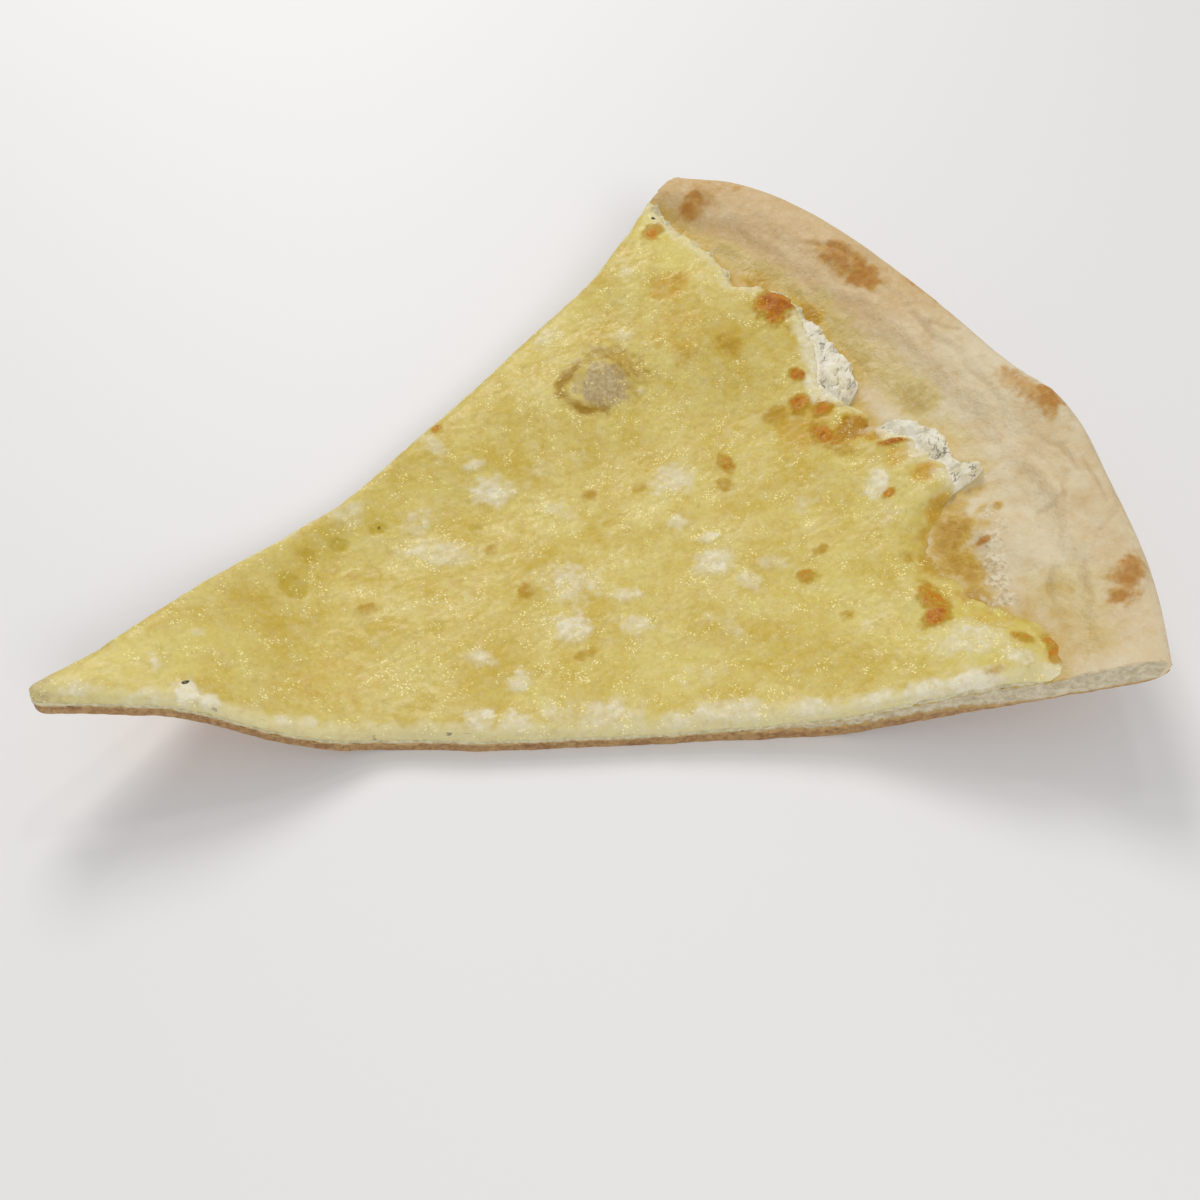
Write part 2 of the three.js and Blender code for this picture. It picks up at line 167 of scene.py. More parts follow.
CURD = [  # ricotta that shows through the cheese
    (32, -9.6, 5, 5.5, 0, 1.4), (34.4, -12.6, 4.5, 3.5, -25, 1.3), (28, -1, 2, 5.5, 0, 0.8),
    (47, -19.3, 4, 3, -24, 0.8), (51.5, -20.2, 4.5, 3, -24, 0.7), (37.5, 5, 3, 2, 0, 0.6),
    (14, -2, 7, 5, 0, 0.4), (113.8, 24, 11, 8, -31, 0.95), (94.8, 12.8, 17, 6.5, -31, 0.8),
    (93.8, 23, 8, 7, 20, 0.6), (126.5, 12.2, 9, 5, -31, 0.45), (118.5, -8.8, 14, 9.5, -25, 0.75),
    (128.5, -18.2, 7.5, 3.5, -15, 0.75), (113, -20.5, 8.5, 8, 0, 1), (126, -26.2, 7.5, 5.5, -31, 0.75),
    (155.2, 7.5, 12, 9, 15, 0.8), (149.8, -5, 5.5, 4.5, 0, 0.9), (106, 40.2, 5, 8, 20, 0.6),
    (113, 31.8, 6.5, 2.6, 0, 0.75), (127, 24.5, 9, 6, 0, 0.35), (154.2, -12.8, 5, 3, 0, 0.85),
    (151.2, -19.8, 8.5, 8, -31, 0.9), (155.5, -28.2, 5.5, 7.5, 60, 0.7), (163.2, -27, 8, 5, -31, 0.5),
    (179.2, -15.5, 7, 6, 0, 0.4), (194.2, -22.8, 9, 5, 50, 1.1), (171.5, -53.2, 6, 5, 0, 0.45),
    (144.2, -36.5, 5, 9, 40, 0.4), (190.8, -31.8, 6, 4, 0, 0.45), (90.5, -19, 6.5, 4.5, -31, 0.85),
    (96, -28.2, 6, 5, 0, 0.85), (84.2, -32.8, 7, 5, -24, 0.95), (90.8, -36.8, 7, 5.5, -24, 1),
    (98.8, -38.5, 6, 6, 0, 0.6), (108.8, -43.8, 15, 7, -24, 0.8), (132.8, -56.2, 18, 6, -24, 0.9),
    (132.8, -44.8, 9, 6, 0, 0.4), (145.5, -35.8, 6, 6, 0, 0.35), (122, -52.5, 8, 4, -24, 0.7),
    (149, -64.5, 10, 5, -24, 0.85), (160, -69.5, 8, 4, -24, 0.9), (169.5, -74.8, 9, 4.5, -24, 1.1),
    (177.5, -78.4, 13, 5.5, -24, 1.2), (189, -79, 9, 5, -30, 0.8), (193, -84.5, 5, 4, 0, 0.9),
    (184, -70, 17, 11, -31, 0.7), (200, -31, 4, 3, 0, 0.35), (165, 52, 7, 6, 0, 0.55),
    (79, 31, 8, 6, 30, 0.7), (73, -5, 4, 3, 0, 0.4), (176, 69, 5, 4, 0, 0.5), (148, 62, 10, 5, 20, 0.5),
    (157, 50, 6, 5, 30, 0.45), (150, 50, 7, 4, 30, 0.4), (161.5, 34.8, 2.5, 2, 0, 0.8),
    (198.6, 12, 3.5, 10, -20, 0.9), (202.5, 18, 3, 8, -10, 1.1), (204, 25, 3, 6, -10, 0.9),
    (205.5, 49, 4, 4, 40, 0.9), (209, 42, 3, 7, 20, 0.8), (198, -12, 5, 5, 0, 0.3), (140, 25, 9, 5, 0, 0.3),
    (196.4, -84, 4, 4, 0, 0.8), (13, -3, 7, 3, -12, 0.8), (25, -9, 11, 3.5, -22, 0.65),
]
OLIVE = [  # pits where oil stands
    (60.5, 15.8, 6, 7, 20, 1), (74.2, 24.2, 5, 4.5, 0, 0.9), (66.5, 22.8, 4, 4, 0, 0.8),
    (84.5, 25.2, 4, 3.5, 0, 0.9), (105.5, 15.5, 3, 4, 0, 0.7), (100, -28, 3.5, 3, 0, 0.6),
    (85, -7, 5, 4, 0, 0.5), (138, -7, 3, 3, 0, 0.4), (75, -24, 7, 5, 0, 0.45), (112, -28.5, 6, 3, 0, 0.5),
    (78, 14, 4, 6, 0, 0.5), (52, 12, 8, 5, 0, 0.3), (20, 7, 4, 3, 0, 0.6), (173, -20, 6, 4, 0, 0.35),
    (183, -62, 5, 4, 0, 0.4), (187, -43, 5, 4, 0, 0.4),
]
# a dough bubble that came up through the cheese, with darker cheese beside it and around its left side:
# browning and painted shade together
SKIN_BUBBLE = [(152.6, 39.6, 12, 13, 60, 1), (146.4, 41.2, 4, 5, 20, 0.5)]
BUBBLE_SHADE = [(158.3, 43.5, 22, 14, -65, 0.62)]
BUBBLE_SHADED_RIM = [
    (152.5, 49.2), (147.4, 47.8), (143.4, 45.2), (141.8, 41.8), (142.8, 38.4), (145.2, 36), (149.2, 33.8),
    (154, 32.8),
]
FLECKS = [  # dark specks
    (32, -7.4, 1.6, 0.9, 0, 1.2), (191.8, 83.5, 1.3, 1.2, 0, 1.1), (84.6, 25.4, 1.6, 0.9, 30, 0.6),
    (35.2, -14.4, 1.8, 1, -24, 0.5), (43.2, -18.2, 1.5, 0.9, -24, 0.5), (62.6, -26.8, 1.6, 1, -24, 0.5),
    (76.9, -33.2, 2, 1.1, -24, 0.55), (80.3, -34.8, 2.2, 1, -24, 0.5),
]
RIM_TOASTED = [  # browned places of the rim
    (203.8, 81.8, 8, 7, 0, 0.85), (207.5, 83.5, 12, 9, -55, 0.35), (225, 43.6, 10, 6, 100, 0.85),
    (227, 32.8, 11, 6.5, 105, 1), (226, 38.3, 20, 7, 103, 0.8), (237, 20.5, 12, 4, 95, 0.5),
    (236.2, -28, 10, 7, 70, 0.95), (235, -20, 15, 6.5, 92, 0.6), (217.5, -76.5, 14, 7, 40, 0.85),
    (202.5, -50.2, 2.8, 2.5, 0, 0.9), (239.5, 10, 20, 3, 92, 0.4), (224, -55, 5, 3, 70, 0.15),
    (214, 82, 16, 5, -45, 0.4), (197.5, 88, 4, 3, 0, 0.3), (232, 30, 34, 7, 103, 0.2),
]
STAINED = [  # dough soaked with fat and browned cheese
    (203, -38.5, 13, 7, 15, 0.75), (200, -43.5, 14, 8, 30, 1.1), (196, -50, 9, 9, 40, 1),
    (196.8, -55, 7, 8, 40, 0.85), (194, -61, 6, 9, 15, 0.9), (197, -72, 12, 9, 60, 0.45),
    (201, -77, 12, 9, 60, 0.35), (192, -70, 8, 9, 0, 0.6), (212.7, -43.2, 3.5, 2.5, 20, 0.8),
    (209, -41.7, 7, 2, 10, 0.55), (205, -46, 5, 4, 30, 0.5), (204.5, -74.5, 9, 12, 60, 0.35),
    (202, -82, 10, 10, 60, 0.35), (207, -69, 10, 4, -60, 0.4), (206, 0, 6, 12, 0, 0.5),
    (212, 33, 6, 9, 0, 1.3), (206, 51, 7, 10, 15, 0.75), (213, -52, 8, 3, 70, 0.2),
    (210, -36.5, 12, 4, -10, 0.6), (206.5, 45, 5, 8, 10, 0.55), (210.5, 34, 4, 7, 10, 0.45),
]
OILED = [  # dough that fat has darkened to olive
    (205, 62, 26, 8, 107, 0.9), (211, 48, 26, 7, 100, 0.8), (200, 76, 18, 7, 115, 0.6),
    (215, 22, 36, 9, 94, 0.95), (217, 0, 30, 10, 88, 0.85), (218, -20, 24, 7, 88, 0.55),
    (214, 20, 14, 5, 94, 1.1), (205, -1, 12, 6, 80, 0.8), (209, -71, 18, 11, -60, 0.7),
    (206, -80, 16, 10, 60, 0.7), (210, 52, 12, 5, 107, 1.5), (212.5, 41, 12, 5, 100, 1.4),
    (205.5, 64, 16, 6, 110, 1.2), (214, 15, 18, 9, 94, 1.3), (218, -5, 14, 9, 90, 1.3),
    (203, 65, 18, 4, 112, 0.8), (217, 35, 10, 5, 100, 0.8),
]
# their colour mixes pale skin with painted crevice shade
CRINKLED = [  # rough floury skin on the big dough bubble
    (204, -51, 5, 6, 0, 1), (201.5, -56, 5, 6, 0, 1), (199.5, -60.5, 5, 6, 0, 1),
    (197.5, -64.5, 7, 4, -30, 0.9), (194.3, -60.5, 3, 4, 0, 0.6), (209.8, -43.5, 6, 3, 20, 0.7),
    (208.5, -48.5, 6, 4, 30, 0.6),
]

# ---- lines on the dough: x, y ----
VALLEY_EDGE = [  # the foot of the roll
    (203, 80), (209, 73), (212.3, 67.7), (215, 58.6), (217.3, 51.4), (220, 38.6), (223.2, 28.6),
    (225, 17.7), (226, 4), (226, -10), (226, -22), (224.8, -27), (224.3, -34), (223.6, -41), (222.5, -48),
    (220.5, -55), (217, -63), (213, -71), (208.5, -78), (205, -83.5),
]
ROLL_FOLD = [  # the long groove along its top
    (222, 52), (228, 40), (229.5, 29), (229.5, 20), (229.4, 8), (230.2, 0), (230, -11), (228.5, -19),
]
STREAKS = [  # short grooves
    [(210, -64), (206.2, -70.5), (201.5, -78.5)], [(214.5, -66), (210, -74)],
    [(227, -32), (231, -40), (229, -47)], [(222, -52), (217, -50)], [(232, -46), (228, -58)],
    [(236, 4), (231, 9)], [(229, -62), (222, -63)], [(227, -46), (223.5, -50), (220.2, -54.8)],
]

# ---- colours as the eye reads them: red, green and blue from 0 to 255 ----
CHEESE_GOLDEN = (203, 177, 76)
CHEESE_PALE = (216, 200, 120)
CHEESE_CLOT = (222, 209, 150)
CHEESE_GAP = (184, 152, 44)
CHEESE_GRAIN = (176, 148, 60)
CHEESE_LEMON = (221, 208, 118)
CHEESE_CREAM = (226, 218, 170)
CHEESE_VERGE = (228, 219, 172)
CHEESE_TIP = (224, 210, 130)
CHEESE_OLIVE = (184, 158, 4)
CHEESE_AMBER = (202, 156, 36)
CHEESE_DEEP_AMBER = (170, 120, 10)
CHEESE_SOAKED = (184, 144, 34)
CURD_VEILED = (225, 216, 184)
CURD_BITS = (240, 236, 216)
SKIN_DARK = (172, 149, 110)
SKIN_PALE = (202, 185, 148)
SEEP_AND_SHADE_BROWN = (154, 116, 0)
BLISTER_RIM = (180, 140, 24)
BLISTER = (200, 126, 22)
BLISTER_WRINKLE = (170, 92, 22)
BLISTER_BURNT = (158, 84, 20)
FLECK_BLACK = (14, 13, 10)
# the next two are painted highlights: glints and sparkle on the cheese's fat
PAINTED_GOLD_GLINT = (236, 214, 120)
PAINTED_SPARKLE = (255, 246, 182)
RICOTTA_WHITE = (247, 243, 230)
RICOTTA_CREAM = (238, 232, 210)
RICOTTA_GRAIN = (204, 196, 164)
RICOTTA_YELLOW = (222, 208, 146)
RICOTTA_CREVICE_SHADE = (170, 160, 120)
RICOTTA_CRACK_SHADE = (138, 126, 90)
RICOTTA_MELTED_DARK = (190, 180, 136)
RICOTTA_MELTED = (224, 215, 174)
RICOTTA_FOOT = (194, 162, 106)
DOUGH_PALE = (223, 209, 176)
DOUGH_TAN = (212, 191, 151)
DOUGH_PATCH = (202, 174, 130)
DOUGH_WARM = (208, 172, 116)
DOUGH_OILED = (202, 182, 108)
DOUGH_DEEP_OIL = (184, 158, 88)
DOUGH_FLOUR = (234, 226, 206)
DOUGH_CREASE_SHADE = (170, 138, 90)
DOUGH_FLOUR_AND_HIGHLIGHT = (232, 214, 180)
DOUGH_STAIN = (196, 158, 16)
DOUGH_DEEP_STAIN = (172, 126, 0)
CRINKLE_CREVICE_SHADE = (186, 164, 124)
CRINKLE_PALE = (230, 220, 192)
DOUGH_TOASTED = (194, 146, 62)
DOUGH_BURNT = (174, 112, 30)
CRUMB_DARK = (194, 180, 148)
CRUMB_PALE = (220, 209, 180)
CRUMB_HOLE_SHADE = (136, 120, 88)
UNDER_TAN = (206, 166, 112)
UNDER_BROWN = (172, 120, 70)
UNDER_CHAR = (112, 72, 42)
UNDER_DUST = (226, 208, 172)
CUT_BROWNED = (192, 158, 100)
CUT_LINE_PALE = (186, 152, 102)
CUT_LINE_DARK = (150, 114, 72)
CUT_LINE_SCORCHED = (134, 86, 48)
FLOOR_GREY = (236, 236, 238)

# ---- relief: rows of a height and a size of lumps in mm, and a seed ----
DIMPLES = [(0.42, 13, 11), (0.18, 4.5, 14), (0.08, 1.8, 15)]
RIM_AT = 230  # mean distance of the rim, where its wrinkles are measured
WRINKLE_HEIGHT = 0.3
WRINKLE_LENGTH = 11
WRINKLE_SQUEEZE = 3.2  # how much narrower than long the wrinkles are
RIM_BLISTERS = (0.25, 0.55, 3.2, 21)  # height, unevenness, size of lumps, seed; so are the next ones
CRINKLES = (0.2, 0.9, 2.4, 23)
STAIN_SWELL = (0.1, 0.3, 4, 26)
CHEESE_BLISTERS = (0.35, 0.65, 3.2, 86)
SEEP_SUNK = (-0.3, 0.5, 2.4, 90)
OLIVE_PIT = 0.4
AMBER_PIT = 0.3
POCK_DEPTH = 0.5
POCK_GRAIN = 0.12
CURD_LUMPS = [(0.6, 5, 46)]
CURD_GRAINS = [(0.5, 2.3, 41), (0.35, 1.3, 44)]
CURD_CRACK_DEPTH = 0.8
CHEESE_LUMPS = [(0.16, 9, 71), (0.09, 3.6, 74)]
CHEESE_GRAINS = [(0.13, 2.6, 76), (0.1, 1.6, 79)]
CUT_WAVES = [(0.35, 11, 92), (0.2, 3.5, 93)]
BORDER_BITES = [(0.9, 1.1, 0), (0.55, 0.45, 1), (0.2, 0.2, 2)]  # sizes in degrees, seeds past the layer's
RICOTTA_SEED = 51
CHEESE_SEED = 54
LINE_WANDER = 1.1  # lines through points are pushed about this much
RUN_DOWN = -9  # below this direction the cheese has run down onto the dough, beside the big bubble
BARE_BLEND = 3  # the bare dough's relief sets in over this width
DIP_AT = 210.5  # the dough dips at the cheese's border
DIP_WIDTH = 9
DIP_DEPTH = 0.7
VALLEY_RIDGE_WIDTH = 1.6
FOLD_WIDTH = 0.9
FOLD_DEPTH = 0.6
DOUGH_CRUMB = (0.5, 1.9, 91)  # of the cut faces: height, size of lumps, seed; so are the next two
RICOTTA_CRUMB = (0.18, 2.2, 97)
CHEESE_CRUMB = (0.15, 2.4, 99)
CUT_BAND = 1.6  # how far in from a cut its crumb is pushed about
CUT_SET_BACK = 0.3
CHEESE_LEAST = 0.04
SUNK_BAND = 1.2
ROLLED_LEAST = 0.55  # share of the ricotta's thickness that is left at the cuts

# ---- fineness of the modelled surfaces, in mm ----
CHEESE_STEP = 0.55
CHEESE_UNDER_STEP = 2.5
CHEESE_INSET = 0.3  # its body stops this far short of the cuts
CHEESE_ROUND_FROM = 0.985  # as a share of the way to the border, as are the next ones
RICOTTA_STEP = 0.8
RICOTTA_FINE_STEP = 0.38
RICOTTA_UNDER_STEP = 3
RICOTTA_INSET = 0.1
RICOTTA_HIDDEN_STEP = 3.95  # along the rows, as is the next one
RICOTTA_SHOWN_STEP = 0.45
RICOTTA_FINE_FROM = 0.86
RICOTTA_FINE_PAST = 0.87
RICOTTA_ROUND_FROM = 0.98
BARE_STEP = 0.55
BARE_FROM = 0.775
BARE_FINE_PAST = 0.79
DOUGH_ROUND_FROM = 0.965
COVERED_STEP = 2.6
UNDER_STEP = 2.2
WALL_STEP = 0.6
STEP_BLEND = 0.03
DOUGH_REACH = 235  # mean distances to the borders
RICOTTA_REACH = 207
CHEESE_REACH = 203
COLUMN_SAMPLES = 2001
SLOPE_STEP = 0.2  # in degrees, for the slope of a border
SHARP_ANGLE = 62  # edges sharper than this, in degrees, aren't shaded smooth

# ---- camera ----
CAMERA_AT = (38.97, -153.93, 218.07)  # from the corner
CAMERA_HEADING = 58.8  # degrees from +x
CAMERA_DOWN = 52.83
CAMERA_ROLL = 3.77
CAMERA_LENS = 34.5
CAMERA_NEAR = 0.01  # in m
SENSOR_WIDTH = 36

# ---- floor and light: name, place and size in m, power in W, tint ----
FLOOR_HALF = 3  # in m
WORLD_STRENGTH = 0.4
LIGHTS = [
    ("key", (0.18, 0.87, 0.8), 0.45, 6.0, (1, 0.97, 0.91)),
    ("glint_right", (0.44, 0.53, 1.1), 0.1, 0.7, (1, 0.96, 0.88)),
    ("glint_left", (-0.15, 0.72, 1.0), 0.1, 0.5, (1, 0.96, 0.88)),
    ("front", (-0.1, -0.8, 0.75), 0.5, 3.8, (1, 0.98, 0.96)),
]


# ---- small tools ----
def smooth(share):
    t = np.clip(share, 0, 1)
    return t * t * (3 - 2 * t)


def through(points, place):
    """A smooth curve through (place, value) pairs."""
    places, values = np.array(points, float).T
    slopes = np.empty_like(values)
    slopes[1:-1] = (values[2:] - values[:-2]) / (places[2:] - places[:-2])
    slopes[0] = (values[1] - values[0]) / (places[1] - places[0])
    slopes[-1] = (values[-1] - values[-2]) / (places[-1] - places[-2])
    at = np.clip(place, places[0], places[-1])
    i = np.clip(np.searchsorted(places, at) - 1, 0, len(places) - 2)
    width = places[i + 1] - places[i]
    t = (at - places[i]) / width
    rest = 1 - t
    start = rest**2 * ((1 + 2 * t) * values[i] + t * width * slopes[i])
    return start + t**2 * ((1 + 2 * rest) * values[i + 1] - rest * width * slopes[i + 1])


def polar(x, y):
    return np.hypot(x, y), np.degrees(np.arctan2(y, x))


LATTICE_FACTORS = (374761393, 668265263, 1442695041)  # large odd numbers that scatter i, j and the seed
LATTICE_SCATTER = 1274126177
WORD = 0xFFFFFFFF
HALF_WORD = 0xFFFF
NOISE_REACH = 1.8  # brings noise out to about -1 and 1
OCTAVE_TURN = 0.7
OCTAVES_SUM = 1.75  # of three octaves, each half as high as the last
GRAIN_INSET = 0.15  # a grain's middle lies at least this far inside its cell
GRAIN_ROOM = 0.7
GRAIN_SLOPE = 1.6


def hashed(i, j, seed):
    """A repeatable number from 0 to 1 for each cell of a lattice."""
    by_i, by_j, by_seed = LATTICE_FACTORS
    n = (i * by_i + j * by_j + seed * by_seed) & WORD
    n = ((n ^ (n >> 13)) * LATTICE_SCATTER) & WORD
    return ((n ^ (n >> 16)) & HALF_WORD) / HALF_WORD


def noise(x, y, size, seed=0):
    """Smooth noise from about -1 to 1 whose lumps are about size across."""
    u, v = np.asarray(x) / size, np.asarray(y) / size
    i, j = np.floor(u).astype(np.int64), np.floor(v).astype(np.int64)
    u, v = u - i, v - j

    def slope(right, up):
        turn = 2 * math.pi * hashed(i + right, j + up, seed)
        return np.cos(turn) * (u - right) + np.sin(turn) * (v - up)

    s, t = smooth(u), smooth(v)
    low = slope(0, 0) * (1 - s) + slope(1, 0) * s
    high = slope(0, 1) * (1 - s) + slope(1, 1) * s
    return NOISE_REACH * (low * (1 - t) + high * t)


def rough(x, y, size, seed=0, octaves=3):
    """Noise with finer noise on it, each octave turned against the last."""
    total = 0
    for octave in range(octaves):
        turn = OCTAVE_TURN * octave
        u = x * math.cos(turn) - y * math.sin(turn)
        v = x * math.sin(turn) + y * math.cos(turn)
        total = total + noise(u, v, size / 2**octave, seed + octave) / 2**octave
    return total / OCTAVES_SUM


def grains(x, y, size, seed=0):
    """Rounded grains about size across: 1 on top of a grain, 0 in the gaps."""
    u, v = np.asarray(x) / size, np.asarray(y) / size
    i, j = np.floor(u).astype(np.int64), np.floor(v).astype(np.int64)
    nearest = np.full(u.shape, 9.0)
    for a in (-1, 0, 1):
        for b in (-1, 0, 1):
            du = i + a + GRAIN_INSET + GRAIN_ROOM * hashed(i + a, j + b, seed) - u
            dv = j + b + GRAIN_INSET + GRAIN_ROOM * hashed(i + a, j + b, seed + 1) - v
            nearest = np.minimum(nearest, du**2 + dv**2)
    return np.clip(1 - GRAIN_SLOPE * nearest, 0, 1)


def layered(kind, x, y, rows, seed=0):
    """Noise of one kind in several sizes, from rows of a height, a size and a seed."""
    return sum(height * kind(x, y, size, seed + own) for height, size, own in rows)


def grainy(x, y, rows):
    """Grains in several sizes, as high above the surface as their gaps are deep."""
    return layered(lambda *place: grains(*place) - 0.5, x, y, rows)


def raised(mask, form, x, y):
    """A mark that stands out by a height, with lumps on it."""
    height, uneven, size, seed = form
    return mask * (height + uneven * rough(x, y, size, seed))


def spots(x, y, table, ragged=0.3, softness=0.6, seed=5):
    """How strongly a place lies on one of a table's marks."""
    ragged_here = ragged * (rough(x, y, 3.5, seed) + 0.6 * rough(x, y, 1.4, seed + 7, 2))
    mask = np.zeros_like(x)
    for at_x, at_y, length, width, direction, strength in table:
        c, s = math.cos(math.radians(direction)), math.sin(math.radians(direction))
        u = ((x - at_x) * c + (y - at_y) * s) / (length / 2)
        v = ((y - at_y) * c - (x - at_x) * s) / (width / 2)
        inside = (1 + softness / 2 - np.hypot(u, v) - ragged_here) / softness
        mask = np.maximum(mask, strength * smooth(inside))
    return mask


def toasted_spots(x, y):
    return spots(x, y, TOASTED, 0.35, 1.0)


def rim_spots(x, y):
    return spots(x, y, RIM_TOASTED, 0.45, 1.0)


def stained(x, y):
    return spots(x, y, STAINED, 0.3, 1.3)


def curd_spots(x, y):
    """Curds in the cheese, and those that it lets through along the heaps past its border."""
    away, toward = polar(x, y)
    _, _, shown = ricotta_shown(away, toward)
    to_border = through(CHEESE_BORDER, toward) - away + 1.5 * rough(x, y, 3, 8)
    verge = smooth(1 - to_border / 6) * smooth((shown - 0.5) / 5)
    return np.maximum(spots(x, y, CURD, 0.45, 1.15), 0.95 * verge)


def near_line(x, y, line, width):
    """1 on a line through points, fading with the distance from it."""
    nearest = np.full(x.shape, 99.0)
    for (from_x, from_y), (to_x, to_y) in zip(line, line[1:]):
        across, up = to_x - from_x, to_y - from_y
        along = np.clip(((x - from_x) * across + (y - from_y) * up) / (across**2 + up**2), 0, 1)
        nearest = np.minimum(nearest, np.hypot(x - from_x - along * across, y - from_y - along * up))
    return np.exp(-((nearest / width) ** 2))


# ---- outline ----
NOSE_CENTRE = NOSE_RADIUS / math.sin(math.radians(HALF_ANGLE))
NOSE_TANGENT = NOSE_CENTRE * math.cos(math.radians(HALF_ANGLE))
FIRST_ROW = NOSE_CENTRE - NOSE_RADIUS + NOSE_FACE


def half_opening(away):
    cosine = (away**2 + NOSE_CENTRE**2 - NOSE_RADIUS**2) / (2 * away * NOSE_CENTRE)
    in_nose = np.degrees(np.arccos(np.clip(cosine, -1, 1)))
    return np.where(away >= NOSE_TANGENT, HALF_ANGLE, in_nose)


def cuts_at(away, inset=0):
    """Directions of the two cuts, for a layer that stops short of them by inset."""
    opening = half_opening(away)
    front = -opening - np.degrees((through(FRONT_WANDER, away) - inset) / away)
    back = opening + np.degrees((through(BACK_WANDER, away) - inset) / away)
    return front, back


def direction_at(away, share, inset=0):
    front, back = cuts_at(away, inset)
    return front + (back - front) * share


def distance_to_cut(away, toward):
    front, back = cuts_at(away)
    nearest = np.clip(np.minimum(toward - front, back - toward), 0, None)
    return away * np.sin(np.radians(nearest))


def reach_of(border, share):
    """Where a column, given as its share of the way from the front cut to the back cut, meets a border."""
    away = border(HALF_ANGLE * (2 * share - 1))
    for _ in range(5):
        away = border(direction_at(away, share))
    return away


# ---- the dough's form ----
def underside(x, y):
    away, toward = polar(x, y)
    from_dish = np.hypot(x - DISH_X, y - DISH_Y)
    tipwards = smooth((DISH_X - x) / DISH_FADE)
    side = tipwards * DISH_DEPTH * smooth((from_dish - DISH_FLOOR) / (DISH_EDGE - DISH_FLOOR))
    curl = TIP_CURL * smooth(1 - away / TIP_CURL_LENGTH)
    middle = np.clip(1 - (toward / HALF_ANGLE) ** 2, 0, None)
    fold = FOLD_AT_CUTS + (FOLD_IN_MIDDLE - FOLD_AT_CUTS) * middle
    past = away - fold
    bend = np.clip((past + FOLD_SOFTNESS) / (2 * FOLD_SOFTNESS), 0, 1)
    hinge = np.where(past > FOLD_SOFTNESS, past, FOLD_SOFTNESS * bend**2)
    hang = side + curl + RIM_LIFT / (RIM_LIFT_AT - fold) * hinge
    back = BACK_LIFT * smooth((y - BACK_LIFT_FROM) / (BACK_LIFT_TO - BACK_LIFT_FROM))
    return hang + back * (1 - smooth(hang / LIFT_BLEND))


def bubble_height(away, toward):
    height = 0
    for at, to, length, width, high in DOUGH_BUBBLES:
        distance = np.hypot((away - at) / length, np.radians(toward - to) * at / width)
        height = height + np.where(distance < 1, high * (1 - distance**2) ** 2, 0)
    return height


def rim_reach(toward):
    return through(RIM_RADIUS, toward)


def in_from_edge(away, toward):
    return rim_reach(toward) - away


def dough_thickness(away, toward):
    inside = in_from_edge(away, toward)
    swell = SWELL * smooth((away - SWELL_FROM) / (SWELL_TO - SWELL_FROM))
    roll = through(RIM_RISE, toward) * smooth((ROLL_FOOT - inside) / (ROLL_FOOT - ROLL_TOP))
    valley = VALLEY_DEPTH * smooth(1 - np.abs(inside - VALLEY_AT) / VALLEY_WIDTH)
    return BASE_THICKNESS + swell + roll - valley + bubble_height(away, toward)


def quarter_round(inside, width):
    return np.sqrt(1 - (1 - np.clip(inside / width, 0, 1)) ** 2)


def dough_form(x, y):
    """Height of the dough's top, without its finer relief."""
    away, toward = polar(x, y)
    share = EDGE_HIGH + (1 - EDGE_HIGH) * quarter_round(in_from_edge(away, toward), EDGE_ROUND)
    return underside(x, y) + dough_thickness(away, toward) * share


def bareness(away, toward):
    """0 where cheese or ricotta covers the dough, 1 where it lies bare."""
    width = BARE_BLEND + BARE_BLEND * smooth((RUN_DOWN + 1 - toward) / 3)
    return smooth((past_cover(away, toward) + 1) / width)


def past_cover(away, toward):
    return away - np.maximum(through(CHEESE_BORDER, toward), through(RICOTTA_BORDER, toward))


def bent(x, y):
    """The place pushed about a little, so that a line drawn through points wanders."""
    return x + LINE_WANDER * noise(x, y, 8, 61), y + LINE_WANDER * noise(x, y, 8, 62)


def folds(x, y):
    """Grooves and soft ridges of the rolled rim, and the dip in front of it."""
    away, toward = polar(x, y)
    bent_x, bent_y = bent(x, y)
    dip = -DIP_DEPTH * smooth(1 - np.abs(away - DIP_AT) / DIP_WIDTH) * smooth((toward - RUN_DOWN) / 5)
    higher_in_front = 0.75 + 0.35 * smooth((-20 - y) / 10)
    ridge = near_line(bent_x, bent_y, VALLEY_EDGE, VALLEY_RIDGE_WIDTH) * higher_in_front
    hollow = near_line(bent_x + 4, bent_y, VALLEY_EDGE, 4) * -0.2
    groove = near_line(bent_x, bent_y, ROLL_FOLD, FOLD_WIDTH) * -FOLD_DEPTH
    lip = near_line(bent_x - 1.6, bent_y, ROLL_FOLD, 1.3) * 0.5
    streaks = sum(near_line(bent_x, bent_y, line, FOLD_WIDTH) for line in STREAKS) * -FOLD_DEPTH
    uneven = 0.7 + 0.3 * noise(x, y, 12, 63)
    return uneven * (ridge + hollow + groove + lip + streaks) + dip


def groove_shade(x, y):
    """The grooves alone, for the painted shade in them."""
    faded = 0.6 + 0.5 * noise(x, y, 9, 64)
    return np.clip(faded * sum(near_line(*bent(x, y), line, 1) for line in [ROLL_FOLD, *STREAKS]), 0, 1)


def ridge_highlight(x, y):
    """A painted highlight: the pale line along the ridge at the foot of the roll."""
    faded = 0.7 + 0.7 * noise(x, y, 10, 65)
    return np.clip(faded * near_line(*bent(x, y), VALLEY_EDGE, 1.3), 0, 1)


